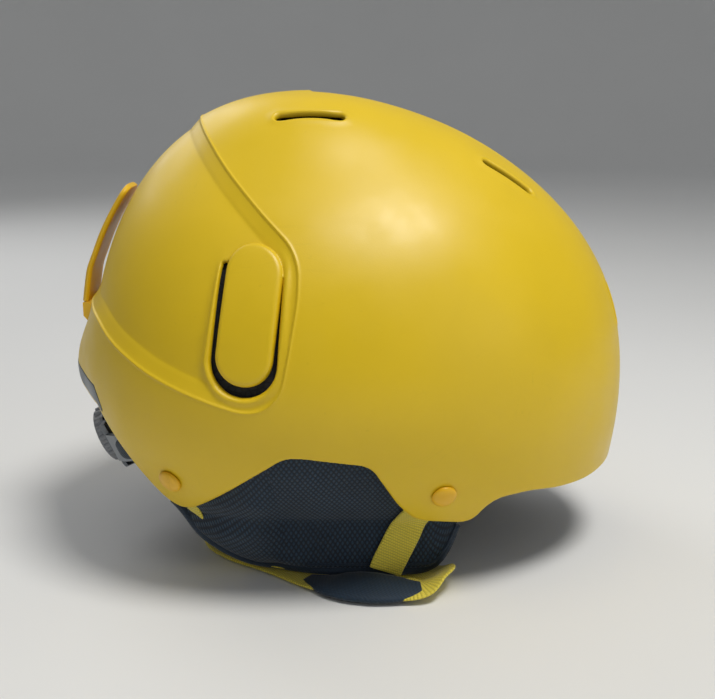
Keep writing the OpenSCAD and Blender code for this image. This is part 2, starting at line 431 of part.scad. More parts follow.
module nape_pad() color("darkslategray") at_dial() translate([0, 0, -4.6]) linear_extrude(4.5) offset(r = 5) square([2*hh - 8, 40], center = true);

outer_shell();
foam_liner();
side_mesh_right();
side_mesh_left();
goggle_clip_base();
goggle_clip();
goggle_clip_screw();
strap_rivets();
rivet_washers();
front_strap_right();
front_strap_left();
rear_strap_right();
rear_strap_left();
chin_strap_right();
chin_strap_left();
chin_pad();
buckle_socket();
buckle_plug();
ear_pad_right();
ear_pad_left();
ear_lining_right();
ear_lining_left();
ear_pad_studs();
brow_pad();
crown_pad();
side_pad_right();
side_pad_left();
pad_hook_dots();
cradle_stay();
cradle_housing();
dial_cover();
dial_knob();
dial_pinion();
dial_screw();
dial_spring();
cradle_arm_right();
cradle_arm_left();
arm_pad_right();
arm_pad_left();
nape_pad();
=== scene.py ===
import bpy, bmesh, math
import numpy as np
from mathutils import Vector, Matrix
from mathutils.kdtree import KDTree
from mathutils.geometry import delaunay_2d_cdt


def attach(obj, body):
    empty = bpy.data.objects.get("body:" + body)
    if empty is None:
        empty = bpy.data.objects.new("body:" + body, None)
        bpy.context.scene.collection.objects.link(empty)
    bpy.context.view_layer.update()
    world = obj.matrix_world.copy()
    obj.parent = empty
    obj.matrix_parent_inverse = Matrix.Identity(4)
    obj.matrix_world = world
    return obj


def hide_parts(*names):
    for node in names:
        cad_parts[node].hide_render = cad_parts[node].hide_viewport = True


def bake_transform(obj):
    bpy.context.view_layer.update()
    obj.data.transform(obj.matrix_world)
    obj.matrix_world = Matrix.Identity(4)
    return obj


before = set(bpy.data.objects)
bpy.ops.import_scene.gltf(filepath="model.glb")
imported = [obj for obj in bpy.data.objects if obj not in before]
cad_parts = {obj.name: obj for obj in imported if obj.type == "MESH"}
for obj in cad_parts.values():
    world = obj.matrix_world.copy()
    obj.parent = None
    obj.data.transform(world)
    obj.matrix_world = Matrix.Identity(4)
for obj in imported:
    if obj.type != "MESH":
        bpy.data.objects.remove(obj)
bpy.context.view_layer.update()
HELMET = "helmet"
MM = 0.001

# ---------------------------------------------------------------- head form (mm)
C = np.array([-15.5, 0.0, 86.0])
WALL, DEPTH, FOAM, TAIL = 2.4, 2.5, 25.0, 8.3
LINER = WALL + FOAM
FR = [130.3, 128.5, 130.6, 134.9, 141.7, 147.7, 149, 151.5, 158, 164.5, 171]
RR = [130.3, 132.2, 129.9, 123.1, 115.9, 110.9, 111, 105, 99.5, 93.5, 88]
SR = [130.3, 129.8, 113.5, 112, 110.5, 109, 108, 105, 101, 97, 93]


def smooth(t):
    t = np.clip(t, 0, 1)
    return t * t * (3 - 2 * t)


def prof(c, pol):
    c = np.array([c[1]] + list(c), float)
    t = np.minimum(pol / 15.0, len(c) - 3.001)
    i = np.clip(np.floor(t), 0, len(c) - 4).astype(int)
    u = t - i
    v = 1 - u
    return (v**3 * c[i] + (3 * u**3 - 6 * u**2 + 4) * c[i + 1]
            + (-3 * u**3 + 3 * u**2 + 3 * u + 1) * c[i + 2] + u**3 * c[i + 3]) / 6


def rad(th, pol):
    th, pol = np.broadcast_arrays(np.asarray(th, float), np.asarray(pol, float))
    th = (th + 180) % 360 - 180
    f, b, s = prof(FR, pol), prof(RR, pol), prof(SR, pol)
    c, n = np.cos(np.radians(th)), np.sin(np.radians(th))
    fb = (f + b) / 2 + (f - b) / 2 * c
    tail = TAIL * np.exp(-((180 - np.abs(th)) / 15) ** 2) * smooth((pol - 71) / 20)
    return (1 + 0.02 * (2 * n * c) ** 2 * np.sin(np.radians(pol)) ** 4) / np.sqrt(c * c / fb**2 + n * n / s**2) + tail


def on(th, pol, off=0.0):
    r = rad(th, pol) + off
    t, p = np.radians(th), np.radians(pol)
    return C + np.stack([r * np.sin(p) * np.cos(t), r * np.sin(p) * np.sin(t), r * np.cos(p) + 0 * t], -1)


def angles(P):
    d = np.asarray(P, float) - C
    return np.degrees(np.arctan2(d[..., 1], d[..., 0])), np.degrees(np.arccos(np.clip(d[..., 2] / np.linalg.norm(d, axis=-1), -1, 1)))


def side_y(x, z, off=0.0):
    """half width of the form at a place in the side view, 0 where it is outside"""
    x, z = np.broadcast_arrays(np.asarray(x, float), np.asarray(z, float))
    lo, hi = np.zeros(x.shape), np.full(x.shape, 150.0)
    for _ in range(40):
        m = (lo + hi) / 2
        P = np.stack([x, m, z], -1)
        th, pol = angles(P)
        inside = np.linalg.norm(P - C, axis=-1) < rad(th, pol) + off
        lo, hi = np.where(inside, m, lo), np.where(inside, hi, m)
    return (lo + hi) / 2


def normal(th, pol):
    e = 0.3
    a = on(th + e / np.maximum(np.sin(np.radians(pol)), 0.05), pol) - on(th - e / np.maximum(np.sin(np.radians(pol)), 0.05), pol)
    b = on(th, pol + e) - on(th, pol - e)
    n = np.cross(b, a)
    return n / np.linalg.norm(n, axis=-1, keepdims=True)


def fillet(pts, r, closed=False, k=5):
    pts = [np.array(p, float) for p in pts]
    n, out = len(pts), []
    for i, p in enumerate(pts):
        if not closed and i in (0, n - 1):
            out.append(p)
            continue
        a, b = pts[i - 1] - p, pts[(i + 1) % n] - p
        la, lb = np.linalg.norm(a), np.linalg.norm(b)
        d = min(r, la * 0.48, lb * 0.48)
        A, B = p + a / la * d, p + b / lb * d
        for t in np.linspace(0, 1, k):
            out.append((1 - t) ** 2 * A + 2 * t * (1 - t) * p + t * t * B)
    return np.array(out)


def resample(P, step, closed=True, n=None):
    P = np.asarray(P, float)
    if closed:
        P = np.vstack([P, P[:1]])
    L = np.r_[0, np.cumsum(np.linalg.norm(np.diff(P, axis=0), axis=1))]
    n = n or max(int(round(L[-1] / step)), 4)
    t = np.linspace(0, L[-1], n, endpoint=False) if closed else np.linspace(0, L[-1], n + 1)
    return np.stack([np.interp(t, L, P[:, k]) for k in range(P.shape[1])], 1)


def even_odd(P, poly):
    P, inside = np.asarray(P), np.zeros(len(P), bool)
    a, b = poly, np.roll(poly, -1, 0)
    for (x0, y0), (x1, y1) in zip(a, b):
        if y0 == y1:
            continue
        m = ((y0 > P[:, 1]) != (y1 > P[:, 1])) & (P[:, 0] < (x1 - x0) * (P[:, 1] - y0) / (y1 - y0) + x0)
        inside ^= m
    return inside


# ---------------------------------------------------------------- meshes
def make(name, verts, faces, mat=None, ride=HELMET, smooth_all=True, uv=None):
    me = bpy.data.meshes.new(name)
    me.from_pydata([tuple(v) for v in np.asarray(verts, float) * MM], [], [tuple(int(i) for i in f) for f in faces])
    me.update()
    if uv is not None:
        lay = me.uv_layers.new(name="UVMap")
        idx = np.empty(len(me.loops), dtype=np.int32)
        me.loops.foreach_get("vertex_index", idx)
        lay.data.foreach_set("uv", (np.asarray(uv, float)[idx]).ravel())
    if smooth_all:
        me.polygons.foreach_set("use_smooth", [True] * len(me.polygons))
    o = bpy.data.objects.new(name, me)
    bpy.context.scene.collection.objects.link(o)
    if mat:
        me.materials.append(mat)
    fix_normals(o)
    if ride:
        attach(o, ride)
    return o


def fix_normals(o):
    bm = bmesh.new()
    bm.from_mesh(o.data)
    bmesh.ops.recalc_face_normals(bm, faces=bm.faces)
    if bm.calc_volume(signed=True) < 0:
        bmesh.ops.reverse_faces(bm, faces=bm.faces)
    bm.to_mesh(o.data)
    bm.free()
    o.data.update()


def grid_faces(nu, nv, wrap_u=False, wrap_v=False, base=0):
    f = []
    for j in range(nv if wrap_v else nv - 1):
        for i in range(nu if wrap_u else nu - 1):
            a, b = base + j * nu + i, base + j * nu + (i + 1) % nu
            c, d = base + ((j + 1) % nv) * nu + (i + 1) % nu, base + ((j + 1) % nv) * nu + i
            f.append((a, b, c, d))
    return f


# ---------------------------------------------------------------- side outlines
RIM = [[-112.5, 79], [-80.6, 41], [-74, 37.5], [-68, 39], [-60, 45], [-40, 60.5], [-27.5, 69.5],
       [-23.8, 71], [-18, 71], [7, 67.2], [11.3, 64.4], [16.4, 55.5], [22, 45], [29, 36.5], [33.7, 34.8],
       [40, 33.7], [51.7, 31.7], [56.5, 34], [60.5, 40], [66.6, 44], [80.7, 45], [96, 42.5], [111, 41.5], [124, 42.5], [150, 46]]
RIM = np.vstack([[[-150, 79]], fillet(RIM, 5.0)])
PANEL = [[-68.5, 204.3], [-52, 184], [-35, 167], [-23, 156], [-19.5, 148], [-19.5, 136], [-23.5, 113],
         [-26.5, 99], [-33.5, 92], [-42.5, 91], [-59, 95.4], [-81, 103], [-101.5, 113], [-111, 119.5], [-120, 122], [-160, 123]]
PANEL = fillet(np.vstack([[[-98, 240]], PANEL]), 9.0, k=9)
POD_T, POD_L = np.array([-38, 146.0]), np.array([-42, 111.6])
VENTS = [([-16.4, -37, 206], 35, 0, 31), ([72.3, -31, 179], 23, 33, 27), ([124.5, -23, 119.5], 14, 74, 20)]


def rim_z(x):
    return np.interp(x, RIM[:, 0], RIM[:, 1])


def rim_pol(th, off=0.0, line=rim_z):
    th = np.asarray(th, float)
    grid = np.arange(60, 131, 1.0)
    g = np.stack([(lambda P: P[:, 2] - line(P[:, 0]))(on(th, np.full(th.shape, p), off)) for p in grid], 0)
    k = np.argmax(g < 0, axis=0)
    lo, hi = grid[np.maximum(k - 1, 0)], grid[k]
    for _ in range(26):
        m = (lo + hi) / 2
        P = on(th, m, off)
        up = P[:, 2] > line(P[:, 0])
        lo, hi = np.where(up, m, lo), np.where(up, hi, m)
    return (lo + hi) / 2


def capsule(r0, r1, top, low, n=48):
    """outline of the hull of two circles"""
    d = (top - low) / np.linalg.norm(top - low)
    s = np.array([d[1], -d[0]])
    up = [top + r0 * (math.cos(a) * s + math.sin(a) * d) for a in np.linspace(0, math.pi, n)]
    dn = [low + r1 * (-math.cos(a) * s - math.sin(a) * d) for a in np.linspace(0, math.pi, n)]
    return np.array(up + dn)


TG_T, TG_L, TG_R = POD_T + [0.4, -0.5], POD_L + [0.4, 1.6], 12.0


def tongue_outline():
    return capsule(TG_R, TG_R, TG_T, TG_L)


def seg_dist(P, a, b):
    t = np.clip(((P - a) @ (b - a)) / ((b - a) @ (b - a)), 0, 1)
    return np.linalg.norm(P - (a + t[:, None] * (b - a)), axis=1)


def slot_outline():
    """the U-shaped slot round the lower part of the tongue"""
    out, inn = resample(capsule(13.2, 14.2, POD_T - [0.8, 0], POD_L - [0, 0.6]), 0.25), resample(tongue_outline(), 0.25)

    def low_run(P, zl, zr):
        mid = (POD_T[0] + POD_L[0]) / 2
        keep = np.where(P[:, 0] < mid, P[:, 1] < zl, P[:, 1] < zr)
        i = np.argmax(~keep)
        P, keep = np.roll(P, -i, 0), np.roll(keep, -i)
        return P[keep]
    a, b = low_run(out, 150.6, 144.6), low_run(inn, 150.6, 144.6)
    if np.linalg.norm(a[-1] - b[0]) > np.linalg.norm(a[-1] - b[-1]):
        b = b[::-1]
    loop = np.vstack([resample(a, 1.2, False), resample(b, 1.2, False)])
    return fillet(loop, 0.5, True, 5)


def lift(p2, sign, off=0.0):
    y = side_y(p2[:, 0], p2[:, 1], off)
    return np.stack([p2[:, 0], sign * y, p2[:, 1]], 1)


def vent_frame(v, sign):
    (x, y, z), ax, ay, L = v
    R = Matrix.Rotation(math.radians(ay), 3, "Y") @ Matrix.Rotation(math.radians(ax), 3, "X")
    R = np.array(R)
    base = np.array([x, y, z], float)
    if sign > 0:
        S = np.diag([1, -1, 1])
        return S @ base, S @ R
    return base, R


def vent_loop(v, sign, w=5.0, grow=0.0, off=0.0, n=60):
    base, R = vent_frame(v, sign)
    L, r = v[3] + 2 * grow, w / 2 + grow
    a = np.linspace(0, math.pi, n // 2)
    pts = [[(L / 2 - r) + r * math.sin(t), -r * math.cos(t), 0] for t in a] + [[-(L / 2 - r) - r * math.sin(t), r * math.cos(t), 0] for t in a]
    P = base + np.array(pts) @ R.T
    d = R[:, 2]
    lo, hi = np.full(len(P), -45.0), np.full(len(P), 25.0)
    for _ in range(40):
        m = (lo + hi) / 2
        Q = P + m[:, None] * d
        th, pol = angles(Q)
        ins = np.linalg.norm(Q - C, axis=1) < rad(th, pol) + off
        lo, hi = np.where(ins, m, lo), np.where(ins, hi, m)
    return P + lo[:, None] * d


def to_uv(P):
    th, pol = angles(P)
    return np.stack([pol * np.cos(np.radians(th)), pol * np.sin(np.radians(th))], 1)


def from_uv(q):
    return np.degrees(np.arctan2(q[:, 1], q[:, 0])), np.linalg.norm(q, axis=1)


def project(P, off=0.0):
    th, pol = angles(P)
    return on(th, pol, off)


def kd_of(P):
    kd = KDTree(len(P))
    for i, p in enumerate(P):
        kd.insert(Vector(p), i)
    kd.balance()
    return kd


def kd_dist(kd, P):
    return np.array([kd.find(Vector(p))[2] for p in P])


def rows(loop, ds, closed=True):
    """rows of points on the form beside a closed loop: positive d is to the left of its run, seen from outside"""
    th, pol = angles(loop)
    N = normal(th, pol)
    T = np.roll(loop, -1, 0) - np.roll(loop, 1, 0)
    T /= np.linalg.norm(T, axis=1, keepdims=True)
    L = np.cross(N, T)
    return [project(loop + d * L) for d in ds]


# rim loop, left-turning seen from above/outside: the shell lies on its left
th_dense = np.arange(-180, 180, 0.25)
rim3 = on(th_dense, rim_pol(th_dense))
rim_loop = resample(rim3, 1.35)

# sunken panel's edge, right across the back
px = resample(PANEL, 0.05, False)
py = side_y(px[:, 0], px[:, 1])
ok = py > 0.6
px, py = px[ok], py[ok]
right = np.stack([px[:, 0], -py, px[:, 1]], 1)
ends = [project(np.array([[right[0][0], 0, right[0][2]]]))[0], project(np.array([[right[-1][0], 0, right[-1][2]]]))[0]]
half = np.vstack([[ends[0]], right, [ends[1]]])
half = resample(half, 1.7, False)
left = half[1:-1][::-1] * [1, -1, 1]
panel_loop = np.vstack([half, left])
panel_fine = resample(panel_loop, 0.3)
panel_uv = to_uv(panel_loop)
slot2 = slot_outline()
holes = []
for s in (-1, 1):
    holes.append(resample(lift(slot2, s), 1.0))
    for v in VENTS:
        holes.append(resample(vent_loop(v, s), 0.9))
vent_loops = [h for k, h in enumerate(holes) if k % 4]


def area2(q):
    return 0.5 * np.sum(q[:, 0] * np.roll(q[:, 1], -1) - q[:, 1] * np.roll(q[:, 0], -1))


def ccw(P):
    return P if area2(to_uv(P)) > 0 else P[::-1]


rim_loop, panel_loop = ccw(rim_loop), ccw(panel_loop)
holes = [ccw(h) for h in holes]
kd_rim, kd_panel = kd_of(resample(rim_loop, 0.3)), kd_of(panel_fine)
kd_vent = kd_of(np.vstack([resample(h, 0.3) for h in vent_loops]))
kd_hole = kd_of(np.vstack([resample(h, 0.3) for h in holes]))


def shell_points():
    pts, tag = [], []
    loops_idx = []

    def add(P):
        a = len(pts)
        pts.extend(list(P))
        return list(range(a, a + len(P)))
    loops_idx.append(add(rim_loop))
    for h in holes:
        loops_idx.append(add(h))
    edges = [(l[i], l[(i + 1) % len(l)]) for l in loops_idx for i in range(len(l))]
    a = len(pts)
    pl = add(panel_loop)
    far = kd_dist(kd_hole, panel_loop) > 1.0
    edges += [(pl[i], pl[(i + 1) % len(pl)]) for i in range(len(pl))]
    extra = []
    for r in rows(rim_loop, [0.12, 0.35, 0.75, 1.3, 2.1, 3.2]):
        extra.append(r)
    for h in holes:
        for r in rows(h, [-0.12, -0.35, -0.7, -1.2, -1.9, -2.8]):
            extra.append(r)
    for r in rows(panel_loop, [8.4, 7.4, 6.8, 6.3, 5.5, 4.5, 3.5, 2.6, 1.8, 1.2, 0.75, 0.45, 0.2, -0.2, -0.4, -0.6, -0.85, -1.15, -1.6, -2.3, -3.2, -4.4]):
        extra.append(r)
    for sg in (-1, 1):
        tl = ccw(resample(lift(tongue_outline(), sg), 1.2))
        for r in [tl] + rows(tl, [2.9, 2.2, 1.7, 1.25, 0.85, 0.5, 0.22, -0.3, -0.7, -1.3, -2.2, -3.2]):
            extra.append(r)
    E = np.vstack(extra)
    bg = []
    k = 0
    for pol in np.arange(0.0, 131, 1.12):
        n = max(int(round(2 * math.pi * math.sin(math.radians(pol)) * 125 / 2.6)), 1)
        k += 1
        th = (np.arange(n) + 0.5 * (k % 2)) * 360 / n - 180
        bg.append(on(th, np.full(n, pol)))
    B = np.vstack(bg)
    return pts, loops_idx, edges, E, B


def thin(P, kd, r):
    return P[kd_dist(kd, P) > r]


base_pts, loops_idx, edges, E, B = shell_points()
rim_uv = to_uv(rim_loop)
hole_uv = [to_uv(h) for h in holes]


def in_shell(P, margin=0.0):
    q = to_uv(P)
    ok = even_odd(q, rim_uv)
    for h in hole_uv:
        ok &= ~even_odd(q, h)
    return ok


# keep row points that are inside and not crowding another row of a different loop
kd_edge = kd_of(np.vstack([resample(rim_loop, 0.4)] + [resample(h, 0.4) for h in holes]))
E = E[in_shell(E)]
# greedy thinning of rows against each other
order = np.argsort(np.round(kd_dist(kd_edge, E), 1), kind="stable")
E = E[order]
cell = {}
keepE = []
for p in E:
    key = tuple((p / 0.9).astype(int))
    close = False
    for dx in (-1, 0, 1):
        for dy in (-1, 0, 1):
            for dz in (-1, 0, 1):
                for q in cell.get((key[0] + dx, key[1] + dy, key[2] + dz), ()):
                    if (q[0] - p[0]) ** 2 + (q[1] - p[1]) ** 2 + (q[2] - p[2]) ** 2 < 0.028:
                        close = True
                        break
                if close:
                    break
            if close:
                break
        if close:
            break
    if not close:
        cell.setdefault(key, []).append(p)
        keepE.append(p)
E = np.array(keepE)
B = B[in_shell(B)]
B = thin(B, kd_of(np.vstack([np.array(base_pts), E])), 1.55)
allp = np.vstack([np.array(base_pts), E, B])
quv = to_uv(allp)
res = delaunay_2d_cdt([Vector(q) for q in quv], edges, [], 0, 1e-7, True)
rv = np.array([[v[0], v[1]] for v in res[0]])
tri = np.array([list(f) for f in res[2] if len(f) == 3])
orig = res[3]
same = np.array([o[0] if len(o) else -1 for o in orig])
cen = rv[tri].mean(1)
ok = even_odd(cen, rim_uv)
for h in hole_uv:
    ok &= ~even_odd(cen, h)
tri = tri[ok]
used = np.unique(tri)
remap = -np.ones(len(rv), int)
remap[used] = np.arange(len(used))
tri = remap[tri]
rv = rv[used]
TH, PO = from_uv(rv)
base3 = on(TH, PO)
# boundary loops in the new numbering
be = {}
for f in tri:
    for a, b in ((f[0], f[1]), (f[1], f[2]), (f[2], f[0])):
        if (b, a) in be:
            del be[(b, a)]
        else:
            be[(a, b)] = 1
bound = list(be)

d_edge = kd_dist(kd_edge, base3)
onb = np.zeros(len(base3), bool)
for a, b in bound:
    onb[a] = onb[b] = True
d_edge[onb] = 0
d_pan = kd_dist(kd_panel, base3) * np.where(even_odd(rv, panel_uv), -1, 1)
d_vent = kd_dist(kd_vent, base3)
xz = base3[:, [0, 2]]


def panel_disp(s):
    """height of the shell across the panel's edge, s < 0 inside"""
    drop = -DEPTH * (0.14 * smooth(-s / 0.5) + 0.86 * np.clip((-s - 0.3) / 6.2, 0, 1) ** 0.85 * (1 - 0.12 * smooth((s + 7.5) / 2)))
    ridge = 0.34 * np.exp(-((s - 0.55) / 0.42) ** 2)
    return drop + ridge


disp = panel_disp(d_pan)
side_ = np.abs(base3[:, 1]) > 40
d_tg = seg_dist(xz, TG_T, TG_L) - TG_R
d_sl = seg_dist(xz, POD_T, POD_L - [0, 0.6]) - (14.2 - 1.6 * np.clip((xz[:, 1] - 111) / 35, 0, 1))
# bead round the outside of the slot, fading out towards the top
lip = side_ * 1.35 * np.exp(-((d_sl - 1.5) / 1.5) ** 2) * smooth((158 - xz[:, 1]) / 18) * (d_sl > -0.4)
disp = np.minimum(disp + lip, np.maximum(disp, -0.35))
# the tongue stands above the sunken panel, its edge rolled over
t_ = np.clip(1 + d_tg / 2.6, 0, 1)
roll = np.where(d_tg < 0, np.sqrt(np.clip(1 - t_ ** 2.2, 0, 1)), 0) * side_
disp = disp * (1 - roll) + roll * (-0.25)
disp += 0.45 * np.exp(-((d_vent - 1.5) / 1.0) ** 2)
r_out, r_in = 1.0, 0.5
d = np.minimum(d_edge, r_out)
round_out = -(r_out - np.sqrt(np.maximum(r_out**2 - (r_out - d) ** 2, 0)))
outer = on(TH, PO, disp + round_out)
d = np.minimum(d_edge, r_in)
round_in = (r_in - np.sqrt(np.maximum(r_in**2 - (r_in - d) ** 2, 0)))
inner = on(TH, PO, -WALL + np.minimum(disp, 0) * 1.0 + round_in)
n0 = len(outer)
faces = [tuple(f) for f in tri] + [tuple(f[::-1] + n0) for f in tri] + [(b, a, a + n0, b + n0) for a, b in bound]
shell_verts, shell_faces = np.vstack([outer, inner]), faces
print("SHELL", len(shell_verts), len(shell_faces), "boundary", len(bound))


# ---------------------------------------------------------------- materials
def new_mat(name, rough=0.5, **sock):
    m = bpy.data.materials.new(name)
    m.use_nodes = True
    nt = m.node_tree
    b = nt.nodes["Principled BSDF"]
    b.inputs["Roughness"].default_value = rough
    for k, v in sock.items():
        b.inputs[k.replace("_", " ")].default_value = v
    return m, nt, b


def node(nt, kind, **kw):
    n = nt.nodes.new(kind)
    for k, v in kw.items():
        setattr(n, k, v)
    return n


def math_node(nt, op, a, b=None, clamp=False):
    n = node(nt, "ShaderNodeMath", operation=op, use_clamp=clamp)
    for i, v in enumerate((a, b)):
        if v is None:
            continue
        if isinstance(v, (int, float)):
            n.inputs[i].default_value = v
        else:
            nt.links.new(v, n.inputs[i])
    return n.outputs[0]


def noise(nt, vec, scale, detail=3, rough=0.5):
    n = node(nt, "ShaderNodeTexNoise")
    n.inputs["Scale"].default_value = scale
    n.inputs["Detail"].default_value = detail
    n.inputs["Roughness"].default_value = rough
    nt.links.new(vec, n.inputs["Vector"])
    return n.outputs["Fac"]


def ramp(nt, fac, stops):
    n = node(nt, "ShaderNodeValToRGB")
    e = n.color_ramp.elements
    e[0].position, e[0].color = stops[0][0], (*stops[0][1], 1)
    e[1].position, e[1].color = stops[-1][0], (*stops[-1][1], 1)
    for p, c in stops[1:-1]:
        x = e.new(p)
        x.color = (*c, 1)
    nt.links.new(fac, n.inputs[0])
    return n.outputs[0]


def mix(nt, fac, a, b, mode="MIX"):
    n = node(nt, "ShaderNodeMix", data_type="RGBA", blend_type=mode)
    for s, v in ((0, fac), (6, a), (7, b)):
        if isinstance(v, tuple):
            n.inputs[s].default_value = (*v, 1)
        elif isinstance(v, (int, float)):
            n.inputs[s].default_value = v
        else:
            nt.links.new(v, n.inputs[s])
    return n.outputs[2]


def mapr(nt, v, a, b, c, d):
    n = node(nt, "ShaderNodeMapRange")
    for i, x in enumerate((a, b, c, d)):
        n.inputs[i + 1].default_value = x
    nt.links.new(v, n.inputs[0])
    return n.outputs[0]


def bump(nt, b, h, dist, strength=1.0, prev=None):
    n = node(nt, "ShaderNodeBump")
    n.inputs["Strength"].default_value = strength
    n.inputs["Distance"].default_value = dist
    nt.links.new(h, n.inputs["Height"])
    if prev is not None:
        nt.links.new(prev, n.inputs["Normal"])
    nt.links.new(n.outputs[0], b.inputs["Normal"])
    return n.outputs[0]


def stretched(nt, co, scale, rot=(0, 0, 0)):
    n = node(nt, "ShaderNodeMapping")
    n.inputs["Scale"].default_value = scale
    n.inputs["Rotation"].default_value = rot
    nt.links.new(co, n.inputs["Vector"])
    return n.outputs[0]


def plastic(name, col, rough=0.42, var=0.06, scuff=0.0, grain=0.00006, edge=None, coat=0.0):
    m, nt, b = new_mat(name, rough)
    co = node(nt, "ShaderNodeTexCoord").outputs["Object"]
    big = noise(nt, co, 16, 3)
    dark = tuple(c * (1 - var) for c in col)
    lite = tuple(min(c * (1 + var), 1) for c in col)
    base = ramp(nt, big, [(0.3, dark), (0.7, lite)])
    rv = mapr(nt, noise(nt, co, 45, 4), 0.3, 0.7, rough - 0.07, rough + 0.07)
    if scuff:
        # hair scratches: thin crests of stretched noise, broken up by a coarse mask
        for k, (s, r) in enumerate((((30, 420, 60), (0.3, 0.8, 0.2)), ((380, 26, 70), (0.7, 0.1, 1.1)))):
            f = noise(nt, stretched(nt, co, s, r), 1.0, 1, 0.4)
            line = math_node(nt, "SUBTRACT", 1.0, math_node(nt, "MULTIPLY", math_node(nt, "ABSOLUTE", math_node(nt, "SUBTRACT", f, 0.5)), 130.0), True)
            mask = mapr(nt, noise(nt, co, 13 + 9 * k, 2), 0.6, 0.7, 0, 1)
            base = mix(nt, math_node(nt, "MULTIPLY", math_node(nt, "MULTIPLY", line, mask), scuff), base, tuple(c * 0.45 for c in col))
        # rubbed-in grime, in specks and faint clouds
        sp = mapr(nt, noise(nt, co, 420, 2, 0.4), 0.745, 0.80, 0, 1)
        base = mix(nt, math_node(nt, "MULTIPLY", sp, scuff * 0.5), base, tuple(c * 0.25 + 0.004 for c in col))
        cloud = mapr(nt, noise(nt, co, 24, 5, 0.6), 0.52, 0.78, 0, 1)
        base = mix(nt, math_node(nt, "MULTIPLY", cloud, scuff * 0.25), base, tuple(c * 0.8 for c in col))
    # painted highlight: sharp convex edges are painted paler, standing in for the thin light line that light draws
    # along the rim and rounded edges
    g = node(nt, "ShaderNodeNewGeometry")
    e = mapr(nt, g.outputs["Pointiness"], 0.53, 0.62, 0, 1)
    base = mix(nt, math_node(nt, "MULTIPLY", e, 0.5), base, edge or tuple(min(c * 1.25 + 0.03, 1) for c in col))
    nt.links.new(base, b.inputs["Base Color"])
    nt.links.new(rv, b.inputs["Roughness"])
    bump(nt, b, noise(nt, co, 2600, 2), grain, 0.6)
    if coat:
        b.inputs["Coat Weight"].default_value = coat
        b.inputs["Coat Roughness"].default_value = 0.35
    return m


def uv_xy(nt):
    s = node(nt, "ShaderNodeSeparateXYZ")
    nt.links.new(node(nt, "ShaderNodeTexCoord").outputs["UV"], s.inputs[0])
    return s.outputs[0], s.outputs[1]


def webbing(name, col):
    """flat woven strap: ribs across it, two-up warp; UV is metres along and across"""
    m, nt, b = new_mat(name, 0.62, Sheen_Weight=0.25, Sheen_Roughness=0.4)
    u, v = uv_xy(nt)
    co = node(nt, "ShaderNodeTexCoord").outputs["Object"]
    w = math_node(nt, "MULTIPLY", noise(nt, co, 90, 2), 0.0009)
    uu = math_node(nt, "ADD", u, w)
    rib = math_node(nt, "ABSOLUTE", math_node(nt, "SINE", math_node(nt, "MULTIPLY", uu, math.pi / 0.00125)))
    ph = math_node(nt, "MULTIPLY", math_node(nt, "FLOOR", math_node(nt, "DIVIDE", uu, 0.00125)), math.pi / 2)
    yarn = math_node(nt, "ABSOLUTE", math_node(nt, "SINE", math_node(nt, "ADD", math_node(nt, "MULTIPLY", v, math.pi / 0.0011), ph)))
    h = math_node(nt, "ADD", math_node(nt, "MULTIPLY", rib, 0.7), math_node(nt, "MULTIPLY", yarn, 0.45))
    base = ramp(nt, math_node(nt, "DIVIDE", h, 1.15), [(0.0, tuple(c * 0.42 for c in col)), (0.45, tuple(c * 0.86 for c in col)), (1.0, tuple(min(1, c * 1.1 + 0.01) for c in col))])
    fuzz = noise(nt, co, 900, 3)
    base = mix(nt, mapr(nt, fuzz, 0.45, 0.8, 0, 0.22), base, tuple(c * 0.6 for c in col))
    soil = mapr(nt, noise(nt, co, 30, 3), 0.5, 0.8, 0, 0.3)
    base = mix(nt, soil, base, tuple(c * 0.62 for c in col))
    nt.links.new(base, b.inputs["Base Color"])
    bump(nt, b, h, 0.00035, 0.9, bump(nt, b, fuzz, 0.0001, 0.5))
    return m


def mesh_cloth(name, dark, lite, pitch=0.0022, use_uv=True, puff=True):
    """knitted spacer mesh: staggered lozenges over a darker ground"""
    m, nt, b = new_mat(name, 0.78, Sheen_Weight=0.12, Sheen_Roughness=0.5)
    co = node(nt, "ShaderNodeTexCoord").outputs["Object"]
    if use_uv:
        u, v = uv_xy(nt)
    else:
        s = node(nt, "ShaderNodeSeparateXYZ")
        nt.links.new(co, s.inputs[0])
        u, v = s.outputs[0], s.outputs[2]
    k = math.pi / pitch
    a = math_node(nt, "SINE", math_node(nt, "MULTIPLY", math_node(nt, "ADD", u, math_node(nt, "MULTIPLY", v, 0.62)), k))
    c = math_node(nt, "SINE", math_node(nt, "MULTIPLY", math_node(nt, "SUBTRACT", u, math_node(nt, "MULTIPLY", v, 0.62)), k))
    dots = math_node(nt, "MULTIPLY", a, c)
    hole = mapr(nt, math_node(nt, "ABSOLUTE", dots), 0.25, 0.85, 0, 1)
    yarn = math_node(nt, "ABSOLUTE", math_node(nt, "SINE", math_node(nt, "MULTIPLY", v, math.pi / 0.00055)))
    f = math_node(nt, "MULTIPLY", hole, math_node(nt, "ADD", math_node(nt, "MULTIPLY", yarn, 0.35), 0.65))
    base = mix(nt, f, dark, lite)
    base = mix(nt, mapr(nt, noise(nt, co, 60, 4), 0.4, 0.75, 0, 0.35), base, tuple(x * 0.6 for x in dark))
    nt.links.new(base, b.inputs["Base Color"])
    bump(nt, b, f, 0.0004, 0.8, bump(nt, b, noise(nt, co, 1500, 3), 0.0001, 0.5))
    return m


